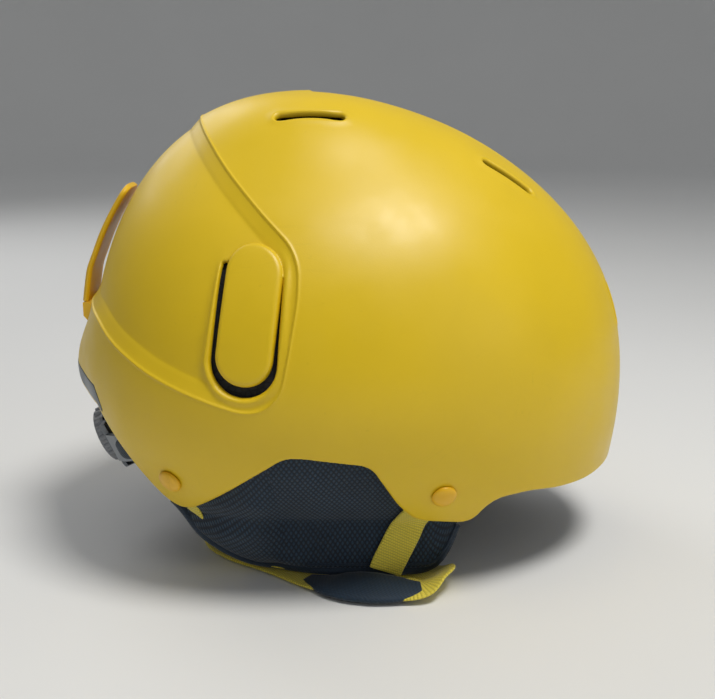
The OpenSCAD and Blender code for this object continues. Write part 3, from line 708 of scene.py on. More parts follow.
def tricot(name, col, seam=None):
    m, nt, b = new_mat(name, 0.72, Sheen_Weight=0.15, Sheen_Roughness=0.45)
    co = node(nt, "ShaderNodeTexCoord").outputs["Object"]
    s = node(nt, "ShaderNodeSeparateXYZ")
    nt.links.new(co, s.inputs[0])
    k = math.pi / 0.0009
    wa = math_node(nt, "SINE", math_node(nt, "MULTIPLY", math_node(nt, "ADD", s.outputs[0], s.outputs[1]), k))
    wb = math_node(nt, "SINE", math_node(nt, "MULTIPLY", math_node(nt, "SUBTRACT", s.outputs[2], s.outputs[1]), k))
    f = math_node(nt, "ADD", math_node(nt, "MULTIPLY", math_node(nt, "MULTIPLY", wa, wb), 0.5), 0.5)
    base = mix(nt, f, tuple(c * 0.7 for c in col), tuple(min(1, c * 1.25) for c in col))
    base = mix(nt, mapr(nt, noise(nt, co, 40, 4), 0.4, 0.8, 0, 0.4), base, tuple(c * 0.6 for c in col))
    nt.links.new(base, b.inputs["Base Color"])
    bump(nt, b, f, 0.00018, 0.7, bump(nt, b, noise(nt, co, 1200, 3), 0.00012, 0.5))
    return m


def beads(name, col):
    """moulded bead foam: flattened polygon cells with dark pinholes between them"""
    m, nt, b = new_mat(name, 0.7)
    co = node(nt, "ShaderNodeTexCoord").outputs["Object"]
    v = node(nt, "ShaderNodeTexVoronoi", feature="DISTANCE_TO_EDGE")
    v.inputs["Scale"].default_value = 330
    nt.links.new(co, v.inputs["Vector"])
    v2 = node(nt, "ShaderNodeTexVoronoi")
    v2.inputs["Scale"].default_value = 330
    nt.links.new(co, v2.inputs["Vector"])
    e = mapr(nt, v.outputs["Distance"], 0.0, 0.12, 0, 1)
    cell = node(nt, "ShaderNodeSeparateColor")
    nt.links.new(v2.outputs["Color"], cell.inputs[0])
    base = mix(nt, mapr(nt, cell.outputs[0], 0, 1, 0, 1), tuple(c * 0.75 for c in col), tuple(c * 1.3 for c in col))
    base = mix(nt, e, tuple(c * 0.45 for c in col), base)
    nt.links.new(base, b.inputs["Base Color"])
    bump(nt, b, e, 0.00025, 0.6)
    return m


def metal(name, col, rough=0.32):
    m, nt, b = new_mat(name, rough, Metallic=1.0)
    co = node(nt, "ShaderNodeTexCoord").outputs["Object"]
    f = noise(nt, stretched(nt, co, (300, 2400, 300)), 1, 3)
    nt.links.new(ramp(nt, f, [(0.35, tuple(c * 0.8 for c in col)), (0.65, col)]), b.inputs["Base Color"])
    nt.links.new(mapr(nt, noise(nt, co, 200, 3), 0.3, 0.7, rough - 0.08, rough + 0.12), b.inputs["Roughness"])
    bump(nt, b, f, 0.00003, 0.5)
    return m


YEL = (0.76, 0.520, 0.008)
M_SHELL = plastic("shell_yellow", YEL, 0.40, 0.035, 0.12)
M_SHELL_IN = plastic("shell_yellow_inside", tuple(c * 0.9 for c in YEL), 0.55, 0.05, 0.2)
M_RIVET = plastic("rivet_yellow", (0.83, 0.47, 0.010), 0.33, 0.04, 0.35)
M_CLIP = plastic("clip_yellow", (0.78, 0.47, 0.008), 0.38, 0.05, 0.6)
M_WEB = webbing("webbing_yellow", (0.80, 0.66, 0.06))
M_MESH = mesh_cloth("pad_mesh", (0.0028, 0.009, 0.020), (0.015, 0.052, 0.098))
M_VENTMESH = mesh_cloth("vent_mesh", (0.014, 0.070, 0.095), (0.060, 0.26, 0.33), 0.0014, False)
M_PIPE = tricot("pad_piping", (0.006, 0.020, 0.042))
M_CHIN = tricot("chin_pad_cloth", (0.007, 0.024, 0.048))
M_LINE = tricot("lining_tricot", (0.012, 0.026, 0.048))
M_FOAM = beads("bead_foam", (0.014, 0.015, 0.018))
# the last colour given to each of these plastics is painted on its convex edges as a highlight
M_BLACK = plastic("black_acetal", (0.012, 0.012, 0.014), 0.38, 0.1, 0.0, 0.00005, (0.06, 0.06, 0.065))
M_GREY = plastic("grey_nylon", (0.19, 0.21, 0.23), 0.45, 0.06, 0.0, 0.00008, (0.4, 0.42, 0.45))
M_KNOB = plastic("knob_grey", (0.30, 0.31, 0.33), 0.35, 0.06, 0.0, 0.00012, (0.3, 0.31, 0.33))
M_STEEL = metal("zinc_steel", (0.55, 0.56, 0.58))
M_HOOK = tricot("hook_tape", (0.010, 0.010, 0.011))

# ---------------------------------------------------------------- shell
shell = make("shell_dome", shell_verts, shell_faces, M_SHELL)
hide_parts("outer_shell")


# ---------------------------------------------------------------- plain dark band printed along the rear rim
def rear_band():
    n, m = 150, 10
    th = np.linspace(146, 214, n)
    th = (th + 180) % 360 - 180
    low = rim_pol(th)
    t = np.linspace(0, 1, m)
    end = np.sqrt(np.clip(1 - np.clip((np.abs(np.linspace(-1, 1, n)) - 0.88) / 0.12, 0, 1) ** 2, 0.0004, 1))
    rows_ = []
    for off in (0.16, -0.5):
        for v in t:
            mid, half = low - 2.95, 2.15 * end
            po = mid + (v * 2 - 1) * half
            rows_.append(on(th, po, off - 0.14 * (abs(v * 2 - 1) > 0.99) * (off > 0)))
    V = np.vstack(rows_)
    F = grid_faces(n, m) + [tuple(x + n * m for x in f[::-1]) for f in grid_faces(n, m)]
    rim = [i for i in range(n)] + [(j + 1) * n - 1 for j in range(1, m)] + [(m - 1) * n + i for i in range(n - 2, -1, -1)] + [j * n for j in range(m - 2, 0, -1)]
    F += [(rim[i], rim[(i + 1) % len(rim)], rim[(i + 1) % len(rim)] + n * m, rim[i] + n * m) for i in range(len(rim))]
    o = make("rear_band", V, F, M_BAND)


# its last colour is painted on the band's convex edges as a highlight
M_BAND = plastic("band_ink", (0.006, 0.022, 0.036), 0.35, 0.1, 0.0, 0.00003, (0.02, 0.05, 0.07))
rear_band()

# ---------------------------------------------------------------- liner
LR = np.array([[-150, 82], [-80, 81], [50, 81], [57, 78], [62, 70], [64, 56], [67, 51.5], [74, 49], [150, 49.0]])


def lr_z(x):
    return np.interp(x, LR[:, 0], LR[:, 1])


nth, npo = 300, 60
ths = np.arange(nth) * 360 / nth - 180
TT = np.tile(ths, npo)
p_o, p_i = rim_pol(ths, -LINER * 0.12, lr_z), rim_pol(ths, -LINER, lr_z)


def liner_xyz():
    rings = []
    q = smooth(np.linspace(0, 1, npo)) * 0.35 + np.linspace(0, 1, npo) * 0.65
    # outside from the crown down, bottom edge, inside back up to the crown
    for t in q[1:]:
        po = p_o * t
        P0 = on(ths, po, 0)
        uvq = np.stack([po * np.cos(np.radians(ths)), po * np.sin(np.radians(ths))], 1)
        dp = kd_dist(kd_panel, P0) * np.where(even_odd(uvq, panel_uv), -1, 1)
        sink = -DEPTH * smooth((-dp + 2) / 6.0)
        e = 0.6 * smooth((t - 0.985) / 0.015)
        rings.append(on(ths, po, -WALL - 0.35 + sink - e))
    P = on(ths, p_o, -WALL - 3.0 - DEPTH * 0.5)
    Q = on(ths, p_i, -LINER + 1.2)
    for t in (0.02, 0.25, 0.5, 0.75, 0.98):
        rings.append(P * (1 - t) + Q * t)
    for t in q[1:][::-1]:
        rings.append(on(ths, p_i * t, -LINER + 1.0 * smooth((t - 0.985) / 0.015)))
    return rings


rings = liner_xyz()
V = np.vstack([np.vstack(rings), on(0, 0, -WALL - 0.35)[None], on(0, 0, -LINER)[None]])
nr = len(rings)
F = grid_faces(nth, nr, True)
F += [(nr * nth, (i + 1) % nth, i) for i in range(nth)]
F += [(nr * nth + 1, (nr - 1) * nth + i, (nr - 1) * nth + (i + 1) % nth) for i in range(nth)]
liner = make("foam_shell", V, F, M_FOAM)
cut_v, cut_f = [], []
for s in (-1, 1):
    for v in VENTS:
        base, R = vent_frame(v, s)
        lo_, hi_ = vent_loop(v, s, 10, 0, 0), vent_loop(v, s, 10, 0, 0)
        n_ = len(lo_)
        a = lo_ + 12 * R[:, 2]
        b_ = lo_ - 40 * R[:, 2]
        k0 = len(cut_v)
        cut_v += list(a) + list(b_)
        cut_f += [(k0 + i, k0 + (i + 1) % n_, k0 + n_ + (i + 1) % n_, k0 + n_ + i) for i in range(n_)]
        cut_f += [tuple(k0 + i for i in range(n_))[::-1], tuple(k0 + n_ + i for i in range(n_))]
cutter = make("vent_cutter", cut_v, cut_f, None, None, False)
md = liner.modifiers.new("cut", "BOOLEAN")
md.operation, md.solver, md.object = "DIFFERENCE", "EXACT", cutter
dg = bpy.context.evaluated_depsgraph_get()
newme = bpy.data.meshes.new_from_object(liner.evaluated_get(dg))
liner.modifiers.clear()
liner.data = newme
bpy.data.objects.remove(cutter)
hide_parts("foam_liner")


# ---------------------------------------------------------------- soft cushions on the liner
def cushion(name, th0, th1, p0, p1, off, thick, mat, nodes=(), n=44, m=26, channels=(), mirror=False, p=3.2, edge=0.9):
    """a sewn pad lying on the liner: crowned towards the head, pinched to a welt at its edge"""
    u = np.linspace(-1, 1, n)
    v = np.linspace(-1, 1, m)
    UU, VV = np.meshgrid(u, v)
    # square to superellipse outline
    rr = np.maximum(np.abs(UU), np.abs(VV))
    ang = np.arctan2(VV, UU)
    sup = 1 / (np.abs(np.cos(ang)) ** p + np.abs(np.sin(ang)) ** p) ** (1 / p)
    X, Y = rr * sup * np.cos(ang), rr * sup * np.sin(ang)
    th = (th0 + th1) / 2 + (th1 - th0) / 2 * X
    po = (p0 + p1) / 2 + (p1 - p0) / 2 * Y
    crown = np.sqrt(np.clip(1 - rr ** 4.0, 0, 1))
    for c, wdt, dep in channels:
        crown = crown * (1 - dep * np.exp(-((X - c) / wdt) ** 2) * (rr < 0.98))
    h_in = edge + (thick - edge) * crown
    back = on(th.ravel(), po.ravel(), off)
    front = on(th.ravel(), po.ravel(), (off - h_in.ravel()))
    idx = np.arange(n * m).reshape(m, n)
    F = [tuple(f) for f in grid_faces(n, m)]
    F2 = [tuple(x + n * m for x in f[::-1]) for f in F]
    rim = list(idx[0, :]) + list(idx[1:, -1]) + list(idx[-1, -2::-1]) + list(idx[-2:0:-1, 0])
    W = [(rim[i], rim[(i + 1) % len(rim)], rim[(i + 1) % len(rim)] + n * m, rim[i] + n * m) for i in range(len(rim))]
    Vv = np.vstack([back, front])
    if mirror:
        Vv = Vv * [1, -1, 1]
    o = make(name, Vv, F + F2 + W, mat)
    if nodes:
        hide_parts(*nodes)
    # welt: a thin piped cord round the outline
    loop = (back[rim] * 0.45 + front[rim] * 0.55)
    if mirror:
        loop = loop * [1, -1, 1]
    w = tube(name + "_welt", resample(loop, 2.2), 0.75, M_PIPE, True)
    return o


def tube(name, P, r, mat, closed=False, k=8, ride=HELMET, flat=1.0, ndir=None):
    P = np.asarray(P, float)
    n = len(P)
    T = (np.roll(P, -1, 0) - np.roll(P, 1, 0)) if closed else np.gradient(P, axis=0)
    T /= np.linalg.norm(T, axis=1, keepdims=True)
    ref = (P - C) if ndir is None else np.broadcast_to(ndir, P.shape)
    S = np.cross(T, ref)
    S /= np.linalg.norm(S, axis=1, keepdims=True)
    N = np.cross(S, T)
    rr = np.broadcast_to(np.asarray(r, float), (n,))
    a = np.arange(k) * 2 * math.pi / k
    V = P[:, None, :] + rr[:, None, None] * (np.cos(a)[None, :, None] * S[:, None, :] + flat * np.sin(a)[None, :, None] * N[:, None, :])
    V = V.reshape(-1, 3)
    F = grid_faces(k, n, True, closed)
    if not closed:
        V = np.vstack([V, P[:1], P[-1:]])
        F += [(n * k, (i + 1) % k, i) for i in range(k)] + [(n * k + 1, (n - 1) * k + i, (n - 1) * k + (i + 1) % k) for i in range(k)]
    return make(name, V, F, mat, ride)


cushion("brow_cushion", -48, 48, 86, 101, -LINER - 0.9, 6.0, M_LINE, ["brow_pad"], 90, 22, [(-0.34, 0.02, 0.35), (0.34, 0.02, 0.35)])
cushion("side_cushion_right", -118, -62, 62, 84, -LINER - 0.9, 4.4, M_LINE, ["side_pad_right"], 54, 26)
cushion("side_cushion_left", -118, -62, 62, 84, -LINER - 0.9, 4.4, M_LINE, ["side_pad_left"], 54, 26, mirror=True)


def crown_cushion(name, y0, y1, nodes=(), n=50, m=20):
    u, v = np.linspace(-1, 1, n), np.linspace(-1, 1, m)
    UU, VV = np.meshgrid(u, v)
    rr = np.maximum(np.abs(UU), np.abs(VV))
    ang = np.arctan2(VV, UU)
    sup = 1 / (np.abs(np.cos(ang)) ** 4 + np.abs(np.sin(ang)) ** 4) ** 0.25
    X, Y = rr * sup * np.cos(ang), rr * sup * np.sin(ang)
    yy = (y0 + y1) / 2 + (y1 - y0) / 2 * Y
    half = np.sqrt(np.maximum(44.5**2 - yy**2, 1))
    xx = X * half
    th = np.degrees(np.arctan2(yy, xx)).ravel()
    po = np.degrees(np.arcsin(np.clip(np.hypot(xx, yy) / 101.0, 0, 1))).ravel()
    crown = np.sqrt(np.clip(1 - rr ** 4, 0, 1)).ravel()
    back = on(th, po, -LINER - 1.1)
    front = on(th, po, -LINER - 1.1 - 0.9 - 4.9 * crown)
    idx = np.arange(n * m).reshape(m, n)
    F = grid_faces(n, m)
    F2 = [tuple(x + n * m for x in f[::-1]) for f in F]
    rim = list(idx[0, :]) + list(idx[1:, -1]) + list(idx[-1, -2::-1]) + list(idx[-2:0:-1, 0])
    W = [(rim[i], rim[(i + 1) % len(rim)], rim[(i + 1) % len(rim)] + n * m, rim[i] + n * m) for i in range(len(rim))]
    o = make(name, np.vstack([back, front]), F + F2 + W, M_LINE)
    w = tube(name + "_welt", resample(back[rim] * 0.45 + front[rim] * 0.55, 2.2), 0.75, M_PIPE, True)
    if nodes:
        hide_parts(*nodes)


crown_cushion("crown_cushion_right", -38, -24)
crown_cushion("crown_cushion_middle", -10.5, 10.5, ["crown_pad"])
crown_cushion("crown_cushion_left", 24, 38)


# ---------------------------------------------------------------- ear pads
EAR_T, EAR_TOP = 19.0, 78.0


def pad_low(x):
    return np.where(x < -24, 0.0115 * (-24 - x) ** 2, np.where(x > 36, 0.11 * (x - 36) ** 2, 0.0))


def lip_y(x):
    return 68 - 0.0043 * (x - 10) ** 2


def top_y(x):
    return 103 * np.sqrt(1 - ((x + 15) / 150) ** 2)


def pad_y(x, z):
    x, z = np.broadcast_arrays(np.asarray(x, float), np.asarray(z, float))
    l = pad_low(x) + 4.2
    u = np.maximum(0, (z - l) / (63 - l))
    return np.minimum(lip_y(x) + (top_y(x) - lip_y(x)) * u ** 0.58, side_y(x, np.maximum(z, 30), -WALL - 5.5))


def toe(u):
    return 8 * (1 - smooth(u / 0.45))


def catmull(P, k=8):
    P = np.asarray(P, float)
    Q = np.vstack([2 * P[0] - P[1], P, 2 * P[-1] - P[-2]])
    out = []
    for i in range(1, len(Q) - 2):
        p0, p1, p2, p3 = Q[i - 1:i + 3]
        for t in np.linspace(0, 1, k, endpoint=False):
            out.append(0.5 * (2 * p1 + (p2 - p0) * t + (2 * p0 - 5 * p1 + 4 * p2 - p3) * t**2 + (3 * p1 - p0 - 3 * p2 + p3) * t**3))
    return np.vstack([out, P[-1:]])


def soft_ring(pts, r):
    """closed outline with its corners rounded by different radii"""
    out = []
    n = len(pts)
    for i in range(n):
        p, a, b = pts[i], pts[i - 1] - pts[i], pts[(i + 1) % n] - pts[i]
        la, lb = np.linalg.norm(a), np.linalg.norm(b)
        d = min(r[i], la * 0.49, lb * 0.49)
        if d < 0.05:
            out.append(p[None])
            continue
        A, B = p + a / la * d, p + b / lb * d
        t = np.linspace(0, 1, 6)[:, None]
        out.append((1 - t) ** 2 * A + 2 * t * (1 - t) * p + t * t * B)
    return np.vstack(out)


def ear_body(name, d0, d1, sign, mat, foot=True, nring=110, puff=0.0):
    x_lo, x_hi, u_lo, u_hi = (-65.6, 53.6, 0, 1) if foot else (-60.4, 48.4, 0.24, 0.98)
    xs = np.r_[-65 + 6 * (1 - np.cos(np.linspace(0, math.pi / 2, 9))), np.linspace(-57, 45, 58), 53 - 6.5 * (1 - np.sin(np.linspace(math.pi / 2 * 0.12, math.pi / 2, 9)))]
    xs = np.unique(np.round(x_lo + 0.6 + (xs - xs[0]) / (xs[-1] - xs[0]) * (x_hi - x_lo - 1.2), 3))
    R, UV = [], []
    for x in xs:
        b = float(pad_low(x))
        e = min((x - x_lo) / 6, (x_hi - x) / 6, 1)
        c = math.sqrt(max(1 - (1 - max(e, 0.04)) ** 2, 0.02))
        mid = (d0 + d1) / 2
        a0, a1 = mid + (d0 - mid) * c, mid + (d1 - mid) * c
        us = np.linspace(u_lo, u_hi, 26)
        z = b + 4.2 + (EAR_TOP - b - 4.2) * us
        py_ = pad_y(np.full(26, x), z)
        inner_toe = toe(us) if d0 > 0 else 0 * us
        bulge = puff * np.sin(math.pi * np.clip(us * 1.15, 0, 1)) ** 0.7 * c
        out = np.stack([-(py_ - a0 - inner_toe + bulge * 0.35), z], 1)
        inn = np.stack([-(py_ - a1 - toe(us) - bulge), z], 1)[::-1]
        pts = [*out, *inn]
        rr_ = [0.0] * len(pts)
        rr_[0] = 3.4 if foot else 0.9
        rr_[25] = rr_[26] = 2.5 if foot else 0.8
        if foot:
            ly = float(lip_y(x))
            # the CAD's contact foot, its corners softened
            pts += [np.array([-(ly - a1 - 8 + 0.4), b + 1.3]), np.array([-(ly - a1 - 8 + 1.8), b]), np.array([-(ly - 16.4), b]), np.array([-(ly - 15.6), b + 4.2])]
            rr_ += [1.5, 1.2, 1.4, 2.0]
        ring = soft_ring(pts, rr_)
        ring = resample(ring, 1, True, nring)
        R.append(np.stack([np.full(nring, x), -sign * ring[:, 0], ring[:, 1]], 1))
        L = np.r_[0, np.cumsum(np.linalg.norm(np.diff(ring, axis=0), axis=1))]
        UV.append(np.stack([np.full(nring, x * MM), L * MM], 1))
    V, U = np.vstack(R), np.vstack(UV)
    k, n = len(xs), nring
    F = grid_faces(n, k, True)
    V = np.vstack([V, R[0].mean(0)[None], R[-1].mean(0)[None]])
    U = np.vstack([U, UV[0].mean(0)[None], UV[-1].mean(0)[None]])
    F += [(n * k, i, (i + 1) % n) for i in range(n)] + [(n * k + 1, (k - 1) * n + (i + 1) % n, (k - 1) * n + i) for i in range(n)]
    return make(name, V, F, mat, HELMET, True, U)


def lip_line(sign, x0, x1, dz=0.0, out=0.4, n=70):
    x = np.linspace(x0, x1, n)
    z = pad_low(x) + 4.2 + dz
    return np.stack([x, sign * (pad_y(x, z) + out), z], 1)


for side, sg in (("right", -1), ("left", 1)):
    o = ear_body("ear_cushion_" + side, 0, EAR_T - 3.4, sg, M_MESH, True, 120, 0.5)
    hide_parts("ear_pad_" + side)
    o = ear_body("ear_lining_cloth_" + side, EAR_T - 2.3, EAR_T, sg, M_LINE, False, 100, 1.2)
    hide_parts("ear_lining_" + side)


def slab(name, A, B, n, m, mat, ride=HELMET, uv=None):
    """closed solid between two matching grids of points, n across and m up"""
    idx = np.arange(n * m).reshape(m, n)
    F = grid_faces(n, m)
    F2 = [tuple(x + n * m for x in f[::-1]) for f in F]
    rim = list(idx[0, :]) + list(idx[1:, -1]) + list(idx[-1, -2::-1]) + list(idx[-2:0:-1, 0])
    W = [(rim[i], rim[(i + 1) % len(rim)], rim[(i + 1) % len(rim)] + n * m, rim[i] + n * m) for i in range(len(rim))]
    return make(name, np.vstack([A, B]), F + F2 + W, mat, ride, True, None if uv is None else np.vstack([uv, uv]))


# the pad's cover carries on to the rear, outside the rear strap
FLAP = np.array([[-79.5, 74.8, 41.0], [-74.5, 73.4, 34.5], [-70.5, 71.5, 28.5], [-64, 70, 21.5], [-57, 68, 15], [-49, 66, 9.6], [-40, 64, 5.4], [-32, 63.2, 3.6], [-24, 62.8, 3.4]])


def flap(side, sg):
    n, m = 54, 30
    x = np.linspace(-79.5, -24, n)
    yb, zb = np.interp(x, FLAP[:, 0], FLAP[:, 1]), np.interp(x, FLAP[:, 0], FLAP[:, 2])
    k = np.ones(7) / 7
    yb, zb = (np.convolve(np.pad(a, 3, mode="edge"), k, "valid") for a in (yb, zb))
    zt = np.interp(x, [-79.5, -74.5, -70, -60, -40, -24], [46.5, 47, 49, 54, 66, 70])
    v = np.linspace(0, 1, m)[:, None]
    z = zb + (zt - zb) * v
    yt = np.minimum(pad_y(x, zt) + 1.0, side_y(x, zt, -WALL - 0.9))
    X = np.broadcast_to(x, z.shape)
    own = yb + (yt - yb) * v ** 0.62
    own = own + 0.7 * np.sin(math.pi * np.clip(v * 1.1, 0, 1)) * np.clip((x + 79.5) / 8, 0, 1)
    lead = smooth((X + 42) / 17)
    own = np.minimum(own, side_y(X, np.maximum(z, 34), -WALL - 0.5))
    y = own * (1 - lead) + (pad_y(X, z) - 1.4) * lead
    edge = np.minimum(np.minimum(v / 0.10, 1), np.minimum((x + 79.9) / 4, 1))
    th = 2.8 * np.sqrt(np.clip(1 - (1 - edge) ** 2, 0.02, 1))
    out = np.stack([X, sg * (y - (2.8 - th) / 2), z], 2).reshape(-1, 3)
    inn = np.stack([X, sg * (y - (2.8 - th) / 2 - th), z], 2).reshape(-1, 3)
    arc = np.cumsum(np.r_[np.zeros((1, n)), np.hypot(np.diff(y, axis=0), np.diff(z, axis=0))], axis=0)
    o = slab("ear_flap_" + side, out, inn, n, m, M_MESH, HELMET, np.stack([X * MM, arc * MM], 2).reshape(-1, 2))
    low = np.stack([x, sg * (y[0] - 1.2), z[0] - 0.2], 1)[:44]
    return low


for side, sg in (("right", -1), ("left", 1)):
    low = flap(side, sg)
    run = np.vstack([low[::3], lip_line(sg, -22, 50, 0.6, 0.2, 44)])
    run = resample(catmull(run, 4), 1.6, False)
    ker = np.ones(9) / 9
    mid_ = np.stack([np.convolve(np.pad(run[:, i], 4, mode="edge"), ker, "valid") for i in range(3)], 1)
    run = mid_
    # smooth binding along the lower lip, and a second line of piping above it
    o = tube("ear_binding_" + side, run, 1.8, M_PIPE, flat=1.35, ndir=(0, sg * 0.3, 1.0))
    o = tube("ear_piping_" + side, lip_line(sg, -18, 49, 4.6, 0.1), 0.65, M_PIPE)


# ---------------------------------------------------------------- webbing
def unit(v):
    v = np.asarray(v, float)
    return v / np.linalg.norm(v, axis=-1, keepdims=True)


def strap(name, path, nodes, mat=None, w=15.0, t=1.5, mirror=False, ride=HELMET, k=8, widths=None, thick=None, cross=None):
    P = catmull([p for p, _ in path], k)
    N = unit(catmull([unit(n) for _, n in path], k))
    if mirror:
        P, N = P * [1, -1, 1], N * [1, -1, 1]
    T = unit(np.gradient(P, axis=0))
    S = unit(np.cross(N, T))
    Fn = unit(np.cross(T, S))
    prof_ = cross if cross is not None else [(0.5, 0.12), (0.485, 0.36), (0.45, 0.47), (0.25, 0.5), (0, 0.5), (-0.25, 0.5), (-0.45, 0.47), (-0.485, 0.36), (-0.5, 0.12),
             (-0.5, -0.12), (-0.485, -0.36), (-0.45, -0.47), (-0.25, -0.5), (0, -0.5), (0.25, -0.5), (0.45, -0.47), (0.485, -0.36), (0.5, -0.12)]
    q = np.array(prof_)
    n, m = len(P), len(q)
    W = np.full(n, w) if widths is None else np.interp(np.linspace(0, 1, n), np.linspace(0, 1, len(widths)), widths)
    H = np.full(n, t) if thick is None else np.interp(np.linspace(0, 1, n), np.linspace(0, 1, len(thick)), thick)
    V = (P[:, None] + S[:, None] * (W[:, None, None] * q[None, :, :1]) + Fn[:, None] * (H[:, None, None] * q[None, :, 1:])).reshape(-1, 3)
    L = np.r_[0, np.cumsum(np.linalg.norm(np.diff(P, axis=0), axis=1))]
    U = np.stack([np.repeat(L * MM, m), (W[:, None] * q[None, :, 0] * MM).ravel()], 1)
    F = grid_faces(m, n, True) + [tuple(range(m)), tuple((n - 1) * m + i for i in range(m))[::-1]]
    o = make(name, V, F, mat or M_WEB, ride, True, U)
    if nodes:
        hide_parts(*nodes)
    return o, L[-1]


def pad_n(x, z):
    return unit([-float(pad_y(x + 1, z) - pad_y(x - 1, z)) / 2, -1, -float(pad_y(x, z + 1) - pad_y(x, z - 1)) / 2])


def shell_n(x, z):
    return unit([-float(side_y(x + 1, z) - side_y(x - 1, z)) / 2, -1, -float(side_y(x, z + 1) - side_y(x, z - 1)) / 2])


front_run = [[46, 62], [43.5, 56], [41, 50.5], [37, 44.5], [32.5, 38.5], [28.5, 31.5], [25, 24.5], [21.5, 17], [18.5, 10.5], [17, 6.5]]


def strap_y(x, z):
    return min(float(pad_y(x, z)) + 1.9 + 1.4 * float(smooth((z - 30) / 12)), float(side_y(x, max(z, 34), -WALL - 2)))


front_path = [([x, -strap_y(x, z), z], pad_n(x, z)) for x, z in front_run]
rear_path = [([20, -62.6, 3.05], [0, 0, 1]), ([8, -62.6, 3.05], [0, 0, 1]), ([-10, -60.2, 3.15], [0, 0, 1]),
             ([-26, -57.5, 3.2], [0, 0, 1]), ([-38, -55, 4.6], [0.1, 0, 1]), ([-48, -54, 8], [0.3, 0.1, 1]),
             ([-57, -56.5, 14.5], [0.55, 0.35, 0.75]), ([-64.5, -61.2, 23.5], [0.7, 0.5, 0.5]), ([-70, -68.6, 34], [0.7, 0.7, 0.3])]
rear_path += [([x, -float(side_y(x, z, -WALL - 2.15)), z], -shell_n(x, z)) for x, z in [[-73, 42], [-74.5, 49], [-75.6, 55], [-76.5, 63]]]
chin_path = [([8, -61, 1.1], [0, 0, 1]), ([22, -61, 1.1], [0, 0, 1]), ([31, -62.3, 1.2], [-0.05, 0, 1]),
             ([38.5, -70.5, 3.4], [-0.3, 0.05, 0.95]), ([41.8, -76.5, 6.6], [-0.5, 0.13, 0.85]), ([38.5, -82, 6.6], [-0.47, 0.16, 0.85]),
             ([32.5, -86.5, 4.9], [-0.11, -0.12, 0.93]), ([23, -87, 4.1], [0, -0.22, 1]), ([8, -85, 4.1], [0, -0.22, 1]),
             ([-3, -80.8, 3.1], [0, -0.12, 1]), ([-10, -76.6, 1.95], [0, -0.02, 1]), ([-18, -70.4, 1.15], [0, 0, 1]), ([-27, -62.6, 1.1], [0, 0, 1]),
             ([-38, -54, 1.1], [0, 0, 1]), ([-51, -45, 1.1], [0, 0, 1]), ([-61, -34, 1.1], [0, 0, 1]), ([-64.5, -24, 1.8], [0, 0, 1]),
             ([-64.5, -17, 3.6], [0, 0, 1]), ([-64.5, -13, 4.1], [0, 0, 1]), ([-64.5, -9.5, 4.1], [0, 0, 1])]
left_path = [([12, 61, 1.1], [0, 0, 1]), ([-8, 60.5, 1.1], [0, 0, 1]), ([-24, 59, 1.1], [0, 0, 1]),
             ([-38, 57, 1.1], [0, 0, 1]), ([-52, 54, 1.1], [0, 0, 1]), ([-61, 50, 1.4], [0, 0, 1]), ([-64.5, 45, 2.8], [0, 0, 1]),
             ([-64.5, 40.5, 4.1], [0, 0, 1]), ([-64.5, 37, 4.1], [0, 0, 1])]
for side, mir in (("right", False), ("left", True)):
    strap("webbing_front_" + side, front_path, ["front_strap_" + side], mirror=mir)
    strap("webbing_rear_" + side, rear_path, ["rear_strap_" + side], mirror=mir)
strap("webbing_chin_left", left_path, ["chin_strap_left"])
chin, _ = strap("webbing_chin_right", chin_path, ["chin_strap_right"], ride=None)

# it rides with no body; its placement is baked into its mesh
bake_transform(chin)

# padded sleeve round the chin strap
lens = [(0.5, 0.05), (0.47, 0.3), (0.38, 0.46), (0.2, 0.52), (0, 0.54), (-0.2, 0.52), (-0.38, 0.46), (-0.47, 0.3), (-0.5, 0.05),
        (-0.47, -0.22), (-0.38, -0.36), (-0.2, -0.42), (0, -0.42), (0.2, -0.42), (0.38, -0.36), (0.47, -0.22)]
o, _ = strap("chin_cushion", chin_path[6:12], ["chin_pad"], M_CHIN, widths=[8, 15, 19.5, 20.5, 19, 15, 8], thick=[1.8, 3.4, 4.2, 4.3, 4.2, 3.2, 1.8], cross=lens, k=10)


# ---------------------------------------------------------------- rivets
def lathe(name, prof_, centre, axis, mat, ride=HELMET, k=64):
    z = unit(axis)
    a = np.array([0, 0, 1.0]) if abs(z[2]) < 0.9 else np.array([1.0, 0, 0])
    x = unit(np.cross(a, z))
    y = np.cross(z, x)
    p = np.array(prof_, float)
    t = np.arange(k) * 2 * math.pi / k
    body = p[1:-1]
    V = (np.asarray(centre) + body[:, None, :1] * (np.cos(t)[None, :, None] * x + np.sin(t)[None, :, None] * y) + body[:, None, 1:] * z).reshape(-1, 3)
    m = len(body)
    V = np.vstack([V, centre + p[0, 1] * z, centre + p[-1, 1] * z])
    F = grid_faces(k, m, True) + [(m * k, (i + 1) % k, i) for i in range(k)] + [(m * k + 1, (m - 1) * k + i, (m - 1) * k + (i + 1) % k) for i in range(k)]
    return make(name, V, F, mat, ride)


dome = [(0, -6.9), (3.0, -6.9), (3.0, -6.3), (2.2, -6.2), (2.2, 0.32), (5.2, 0.32), (5.45, 0.4), (5.5, 0.6), (5.5, 0.95)]
dome += [(0.35 + 5.1 * math.cos(a), 0.95 + 1.85 * math.sin(a)) for a in np.radians(np.arange(8, 80, 9))] + [(1.6, 2.82), (0, 2.86)]
first = None
for nm, (x, z) in (("front", (41.2, 49.7)), ("rear", (-75.5, 54.5))):
    P, N = np.array([x, -float(side_y(x, z)), z]), shell_n(x, z)
    for side, sg in (("right", 1), ("left", -1)):
        o = lathe(f"rivet_{nm}_{side}", dome, P * [1, sg, 1], N * [1, sg, 1], M_RIVET)
        first = first or o
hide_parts("strap_rivets")


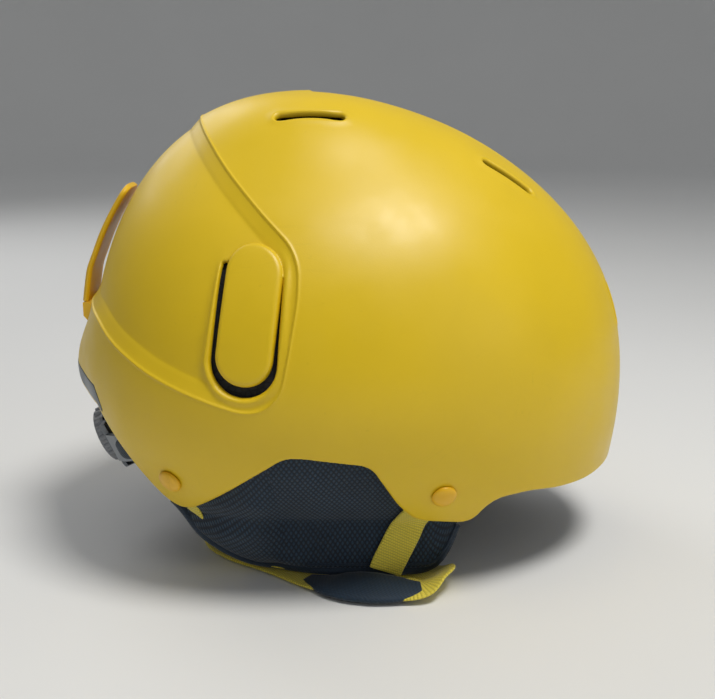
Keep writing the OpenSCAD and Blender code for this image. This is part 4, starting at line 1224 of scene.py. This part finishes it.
# ---------------------------------------------------------------- fabric behind the side slots
def vent_cloth(name, sg, nodes):
    n, m = 72, 14
    cap = resample(capsule(15.3, 15.3, POD_T, POD_L), 1, True, n)
    mid = (POD_T + POD_L) / 2
    rows_ = []
    for t in np.linspace(0.06, 1, m):
        rows_.append(mid + (cap - mid) * t)
    q = np.vstack(rows_ + [mid[None]])
    def at(off):
        P = lift(q, sg)
        th, po = angles(P)
        return on(th, po, off)
    A, B_ = at(-WALL - DEPTH - 0.4), at(-WALL - DEPTH - 1.1)
    N_ = len(q)
    F = grid_faces(n, m, True) + [(n * m, (i + 1) % n, i) for i in range(n)]
    G = [tuple(N_ + i for i in f[::-1]) for f in F]
    W = [((m - 1) * n + i, (m - 1) * n + (i + 1) % n, N_ + (m - 1) * n + (i + 1) % n, N_ + (m - 1) * n + i) for i in range(n)]
    o = make(name, np.vstack([A, B_]), F + G + W, M_VENTMESH)
    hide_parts(*nodes)


vent_cloth("slot_cloth_right", -1, ["side_mesh_right"])
vent_cloth("slot_cloth_left", 1, ["side_mesh_left"])

# ---------------------------------------------------------------- goggle strap clip
CLIP = np.array([[-102, 174.5], [-104.9, 173.5], [-109.6, 166.3], [-114.4, 158.1], [-118.3, 150.4], [-122.2, 141.1],
                 [-125.1, 133.7], [-127, 124], [-127.9, 118.2]])
cp = catmull(CLIP[1:], 6)
CT = unit(np.gradient(cp, axis=0))
CN = np.stack([-CT[:, 1], CT[:, 0]], 1)
CN = np.where((CN[:, :1] < 0), CN, -CN)          # outwards, to the rear
rows_ = []
nw = 26
for i, p in enumerate(cp):
    s = np.linalg.norm(cp[: i + 1][1:] - cp[: i + 1][:-1], axis=1).sum() if i else 0.0
    half_ = 13.0 if s > 5 else 8 + math.sqrt(max(25 - (5 - s) ** 2, 0))
    t_ = 2.6
    ring = []
    for v in np.linspace(-1, 1, nw):
        rnd = 1.0 * (1 - math.sqrt(max(1 - max(abs(v) * half_ - (half_ - 1.2), 0) ** 2 / 1.44, 0)))
        ring.append([v * half_, 0 - rnd + 0.25 * (1 - v * v)])
    for v in np.linspace(1, -1, nw):
        rnd = 1.0 * (1 - math.sqrt(max(1 - max(abs(v) * half_ - (half_ - 1.2), 0) ** 2 / 1.44, 0)))
        ring.append([v * half_, -t_ + rnd])
    rows_.append([[p[0] + CN[i, 0] * h, y_, p[1] + CN[i, 1] * h] for y_, h in ring])
V = np.array(rows_).reshape(-1, 3)
m_ = 2 * nw
k_ = len(cp)
F = grid_faces(m_, k_, True)
F += [tuple(range(m_)), tuple((k_ - 1) * m_ + i for i in range(m_))[::-1]]
clip = make("clip_tongue", V, F, M_CLIP, "clip")
bv = clip.modifiers.new("bev", "BEVEL")
bv.width, bv.segments, bv.limit_method, bv.angle_limit = 0.0006, 3, "ANGLE", math.radians(50)
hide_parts("goggle_clip")

# ---------------------------------------------------------------- soft pads of the cradle, hook dots
D_X, D_Y, D_Z = np.array([-0.422618, 0, 0.906308]), np.array([0, 1.0, 0]), np.array([-0.906308, 0, -0.422618])


def dial_to(P, turn=False):
    P = np.asarray(P, float)
    if turn:
        P = P * [-1, -1, 1]
    return np.array([-108.5, 0, 53.0]) + P[:, :1] * D_X + P[:, 1:2] * D_Y + P[:, 2:] * D_Z


def rounded_grid(a, b, n, m, p=4.0):
    U_, V_ = np.meshgrid(np.linspace(-1, 1, n), np.linspace(-1, 1, m))
    rr, ang = np.maximum(abs(U_), abs(V_)), np.arctan2(V_, U_)
    sup = 1 / (abs(np.cos(ang)) ** p + abs(np.sin(ang)) ** p) ** (1 / p)
    return a * (rr * sup * np.cos(ang)).ravel(), b * (rr * sup * np.sin(ang)).ravel(), rr.ravel()


def cradle_pad(name, a, b, at, mat, node_, ride=HELMET, thick=(0.9, 4.5), channels=()):
    n, m = 46, 26
    q, r_, rr = rounded_grid(b, a, n, m)
    crown = np.sqrt(np.clip(1 - rr ** 4, 0, 1))
    for c, wd, dp in channels:
        crown = crown * (1 - dp * np.exp(-((q - c) / wd) ** 2))
    h = thick[0] + (thick[1] - thick[0]) * crown
    o = slab(name, at(q, r_, 0 * h), at(q, r_, h), n, m, mat, ride)
    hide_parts(node_)


cradle_pad("nape_cushion", 13.3, 24.6, lambda q, r_, h: dial_to(np.stack([r_, q, -0.15 - h], 1)), M_LINE, "nape_pad", HELMET, (0.9, 4.3), [(-8.5, 0.9, 0.4), (8.5, 0.9, 0.4)])
ARM = np.array([[-43, -1.8], [-51, -11], [-57.5, -21.5], [-61.5, -32.5], [-63, -42]])
AL = resample(catmull(ARM, 10), 1, False, 60)
AT = np.gradient(AL, axis=0)
AT /= np.linalg.norm(AT, axis=1, keepdims=True)
AN = np.stack([-AT[:, 1], AT[:, 0]], 1)
AS = np.linspace(0, 1, len(AL))


def arm_at(turn):
    def at(q, r_, h):
        t = (q + 1) / 2
        px, pz = np.interp(t, AS, AL[:, 0]), np.interp(t, AS, AL[:, 1])
        nx, nz = np.interp(t, AS, AN[:, 0]), np.interp(t, AS, AN[:, 1])
        return dial_to(np.stack([r_, px - nx * (0.15 + h), pz - nz * (0.15 + h)], 1), turn)
    return at


cradle_pad("arm_cushion_right", 5.9, 1.0, arm_at(False), M_LINE, "arm_pad_right", "arm_right", (0.8, 2.9))
cradle_pad("arm_cushion_left", 5.9, 1.0, arm_at(True), M_LINE, "arm_pad_left", "arm_left", (0.8, 2.9))
dots = []
for a_, p_ in [(-30, 93), (0, 93), (30, 93), (-90, 72), (90, 72), (-110, 74), (110, 74), (90, 3), (0, 12), (180, 12)]:
    p0_, p1_ = max(p_ - 3, 1), p_ + 3
    q, r_, rr = rounded_grid(3.4, (p1_ - p0_) / 2 - 0.05, 12, 12, 3.0)
    A, B_ = on(a_ + q, (p0_ + p1_) / 2 + r_, -LINER - 0.5), on(a_ + q, (p0_ + p1_) / 2 + r_, -LINER - 0.87)
    o = slab("hook_dot_%d" % len(dots), A, B_, 12, 12, M_HOOK)
    dots.append(o)
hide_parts("pad_hook_dots")

# ---------------------------------------------------------------- carried-over nodes
for n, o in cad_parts.items():
    if o.hide_render:
        continue
    key = {"goggle_clip_base": M_CLIP, "goggle_clip_screw": M_STEEL, "rivet_washers": M_STEEL, "dial_screw": M_STEEL, "dial_spring": M_STEEL,
           "buckle_socket": M_BLACK, "buckle_plug": M_BLACK, "ear_pad_studs": M_BLACK, "dial_pinion": M_BLACK, "dial_knob": M_KNOB}.get(n, M_GREY)
    if not o.material_slots:
        o.data.materials.append(key)
    for s in o.material_slots:
        s.material = key

# ---------------------------------------------------------------- floor, light, camera
def studio(name, col):
    """a round floor that curves up into a low wall, open above"""
    k, prof_ = 96, [(0.0, 0.0), (0.5, 0.0), (1.5, 0.0), (2.6, 0.0)]
    prof_ += [(2.6 + 1.4 * math.sin(a), 1.4 * (1 - math.cos(a))) for a in np.linspace(0.1, math.pi / 2, 14)] + [(4.0, 2.4)]
    V, F = [(0, 0, -0.0002)], []
    for r, z in prof_[1:]:
        V += [(r * math.cos(2 * math.pi * i / k), r * math.sin(2 * math.pi * i / k), z - 0.0002) for i in range(k)]
    F += [(0, 1 + i, 1 + (i + 1) % k) for i in range(k)]
    for j in range(len(prof_) - 2):
        F += [(1 + j * k + i, 1 + (j + 1) * k + i, 1 + (j + 1) * k + (i + 1) % k, 1 + j * k + (i + 1) % k) for i in range(k)]
    me = bpy.data.meshes.new(name)
    me.from_pydata(V, [], F)
    me.polygons.foreach_set("use_smooth", [True] * len(me.polygons))
    o = bpy.data.objects.new(name, me)
    bpy.context.scene.collection.objects.link(o)
    m, nt, b = new_mat(name + "_mat", 0.9)
    co = node(nt, "ShaderNodeTexCoord").outputs["Object"]
    nt.links.new(ramp(nt, noise(nt, co, 3, 2), [(0.3, tuple(c * 0.98 for c in col)), (0.7, col)]), b.inputs["Base Color"])
    me.materials.append(m)
    return o


floor = studio("floor", (0.80, 0.80, 0.79))
bpy.context.scene.view_settings.view_transform = "Standard"
w = bpy.data.worlds.new("studio")
bpy.context.scene.world = w
w.use_nodes = True
w.node_tree.nodes["Background"].inputs[0].default_value = (0.95, 0.97, 1.0, 1)
w.node_tree.nodes["Background"].inputs[1].default_value = 0.26


def area(name, loc, target, size, power, col=(1, 1, 1)):
    l = bpy.data.lights.new(name, "AREA")
    l.shape, l.size, l.energy, l.color = "DISK", size, power, col
    o = bpy.data.objects.new(name, l)
    bpy.context.scene.collection.objects.link(o)
    o.location = loc
    o.rotation_euler = (Vector(target) - Vector(loc)).to_track_quat("-Z", "Y").to_euler()


area("key", (0.34, -0.34, 1.22), (0.03, 0, 0.10), 0.42, 10.5, (1.0, 0.985, 0.95))
area("fill", (1.1, -0.9, 0.5), (0.02, 0, 0.08), 0.9, 1.6, (0.94, 0.97, 1.0))
area("back", (-0.7, 0.9, 0.9), (0, 0, 0.1), 0.9, 4)
cam = bpy.data.cameras.new("camera")
cam.sensor_width, cam.sensor_fit = 36.0, "HORIZONTAL"
cam.lens = 36.0 * 1040 / 715
cam.clip_start, cam.clip_end = 0.01, 100
co_ = bpy.data.objects.new("camera", cam)
bpy.context.scene.collection.objects.link(co_)
T_ = Vector((0.0045, 0, 0.091))
el = math.radians(14)
co_.location = T_ + 0.520 * Vector((0, -math.cos(el), math.sin(el)))
co_.rotation_euler = (T_ - co_.location).to_track_quat("-Z", "Y").to_euler()
bpy.context.scene.camera = co_
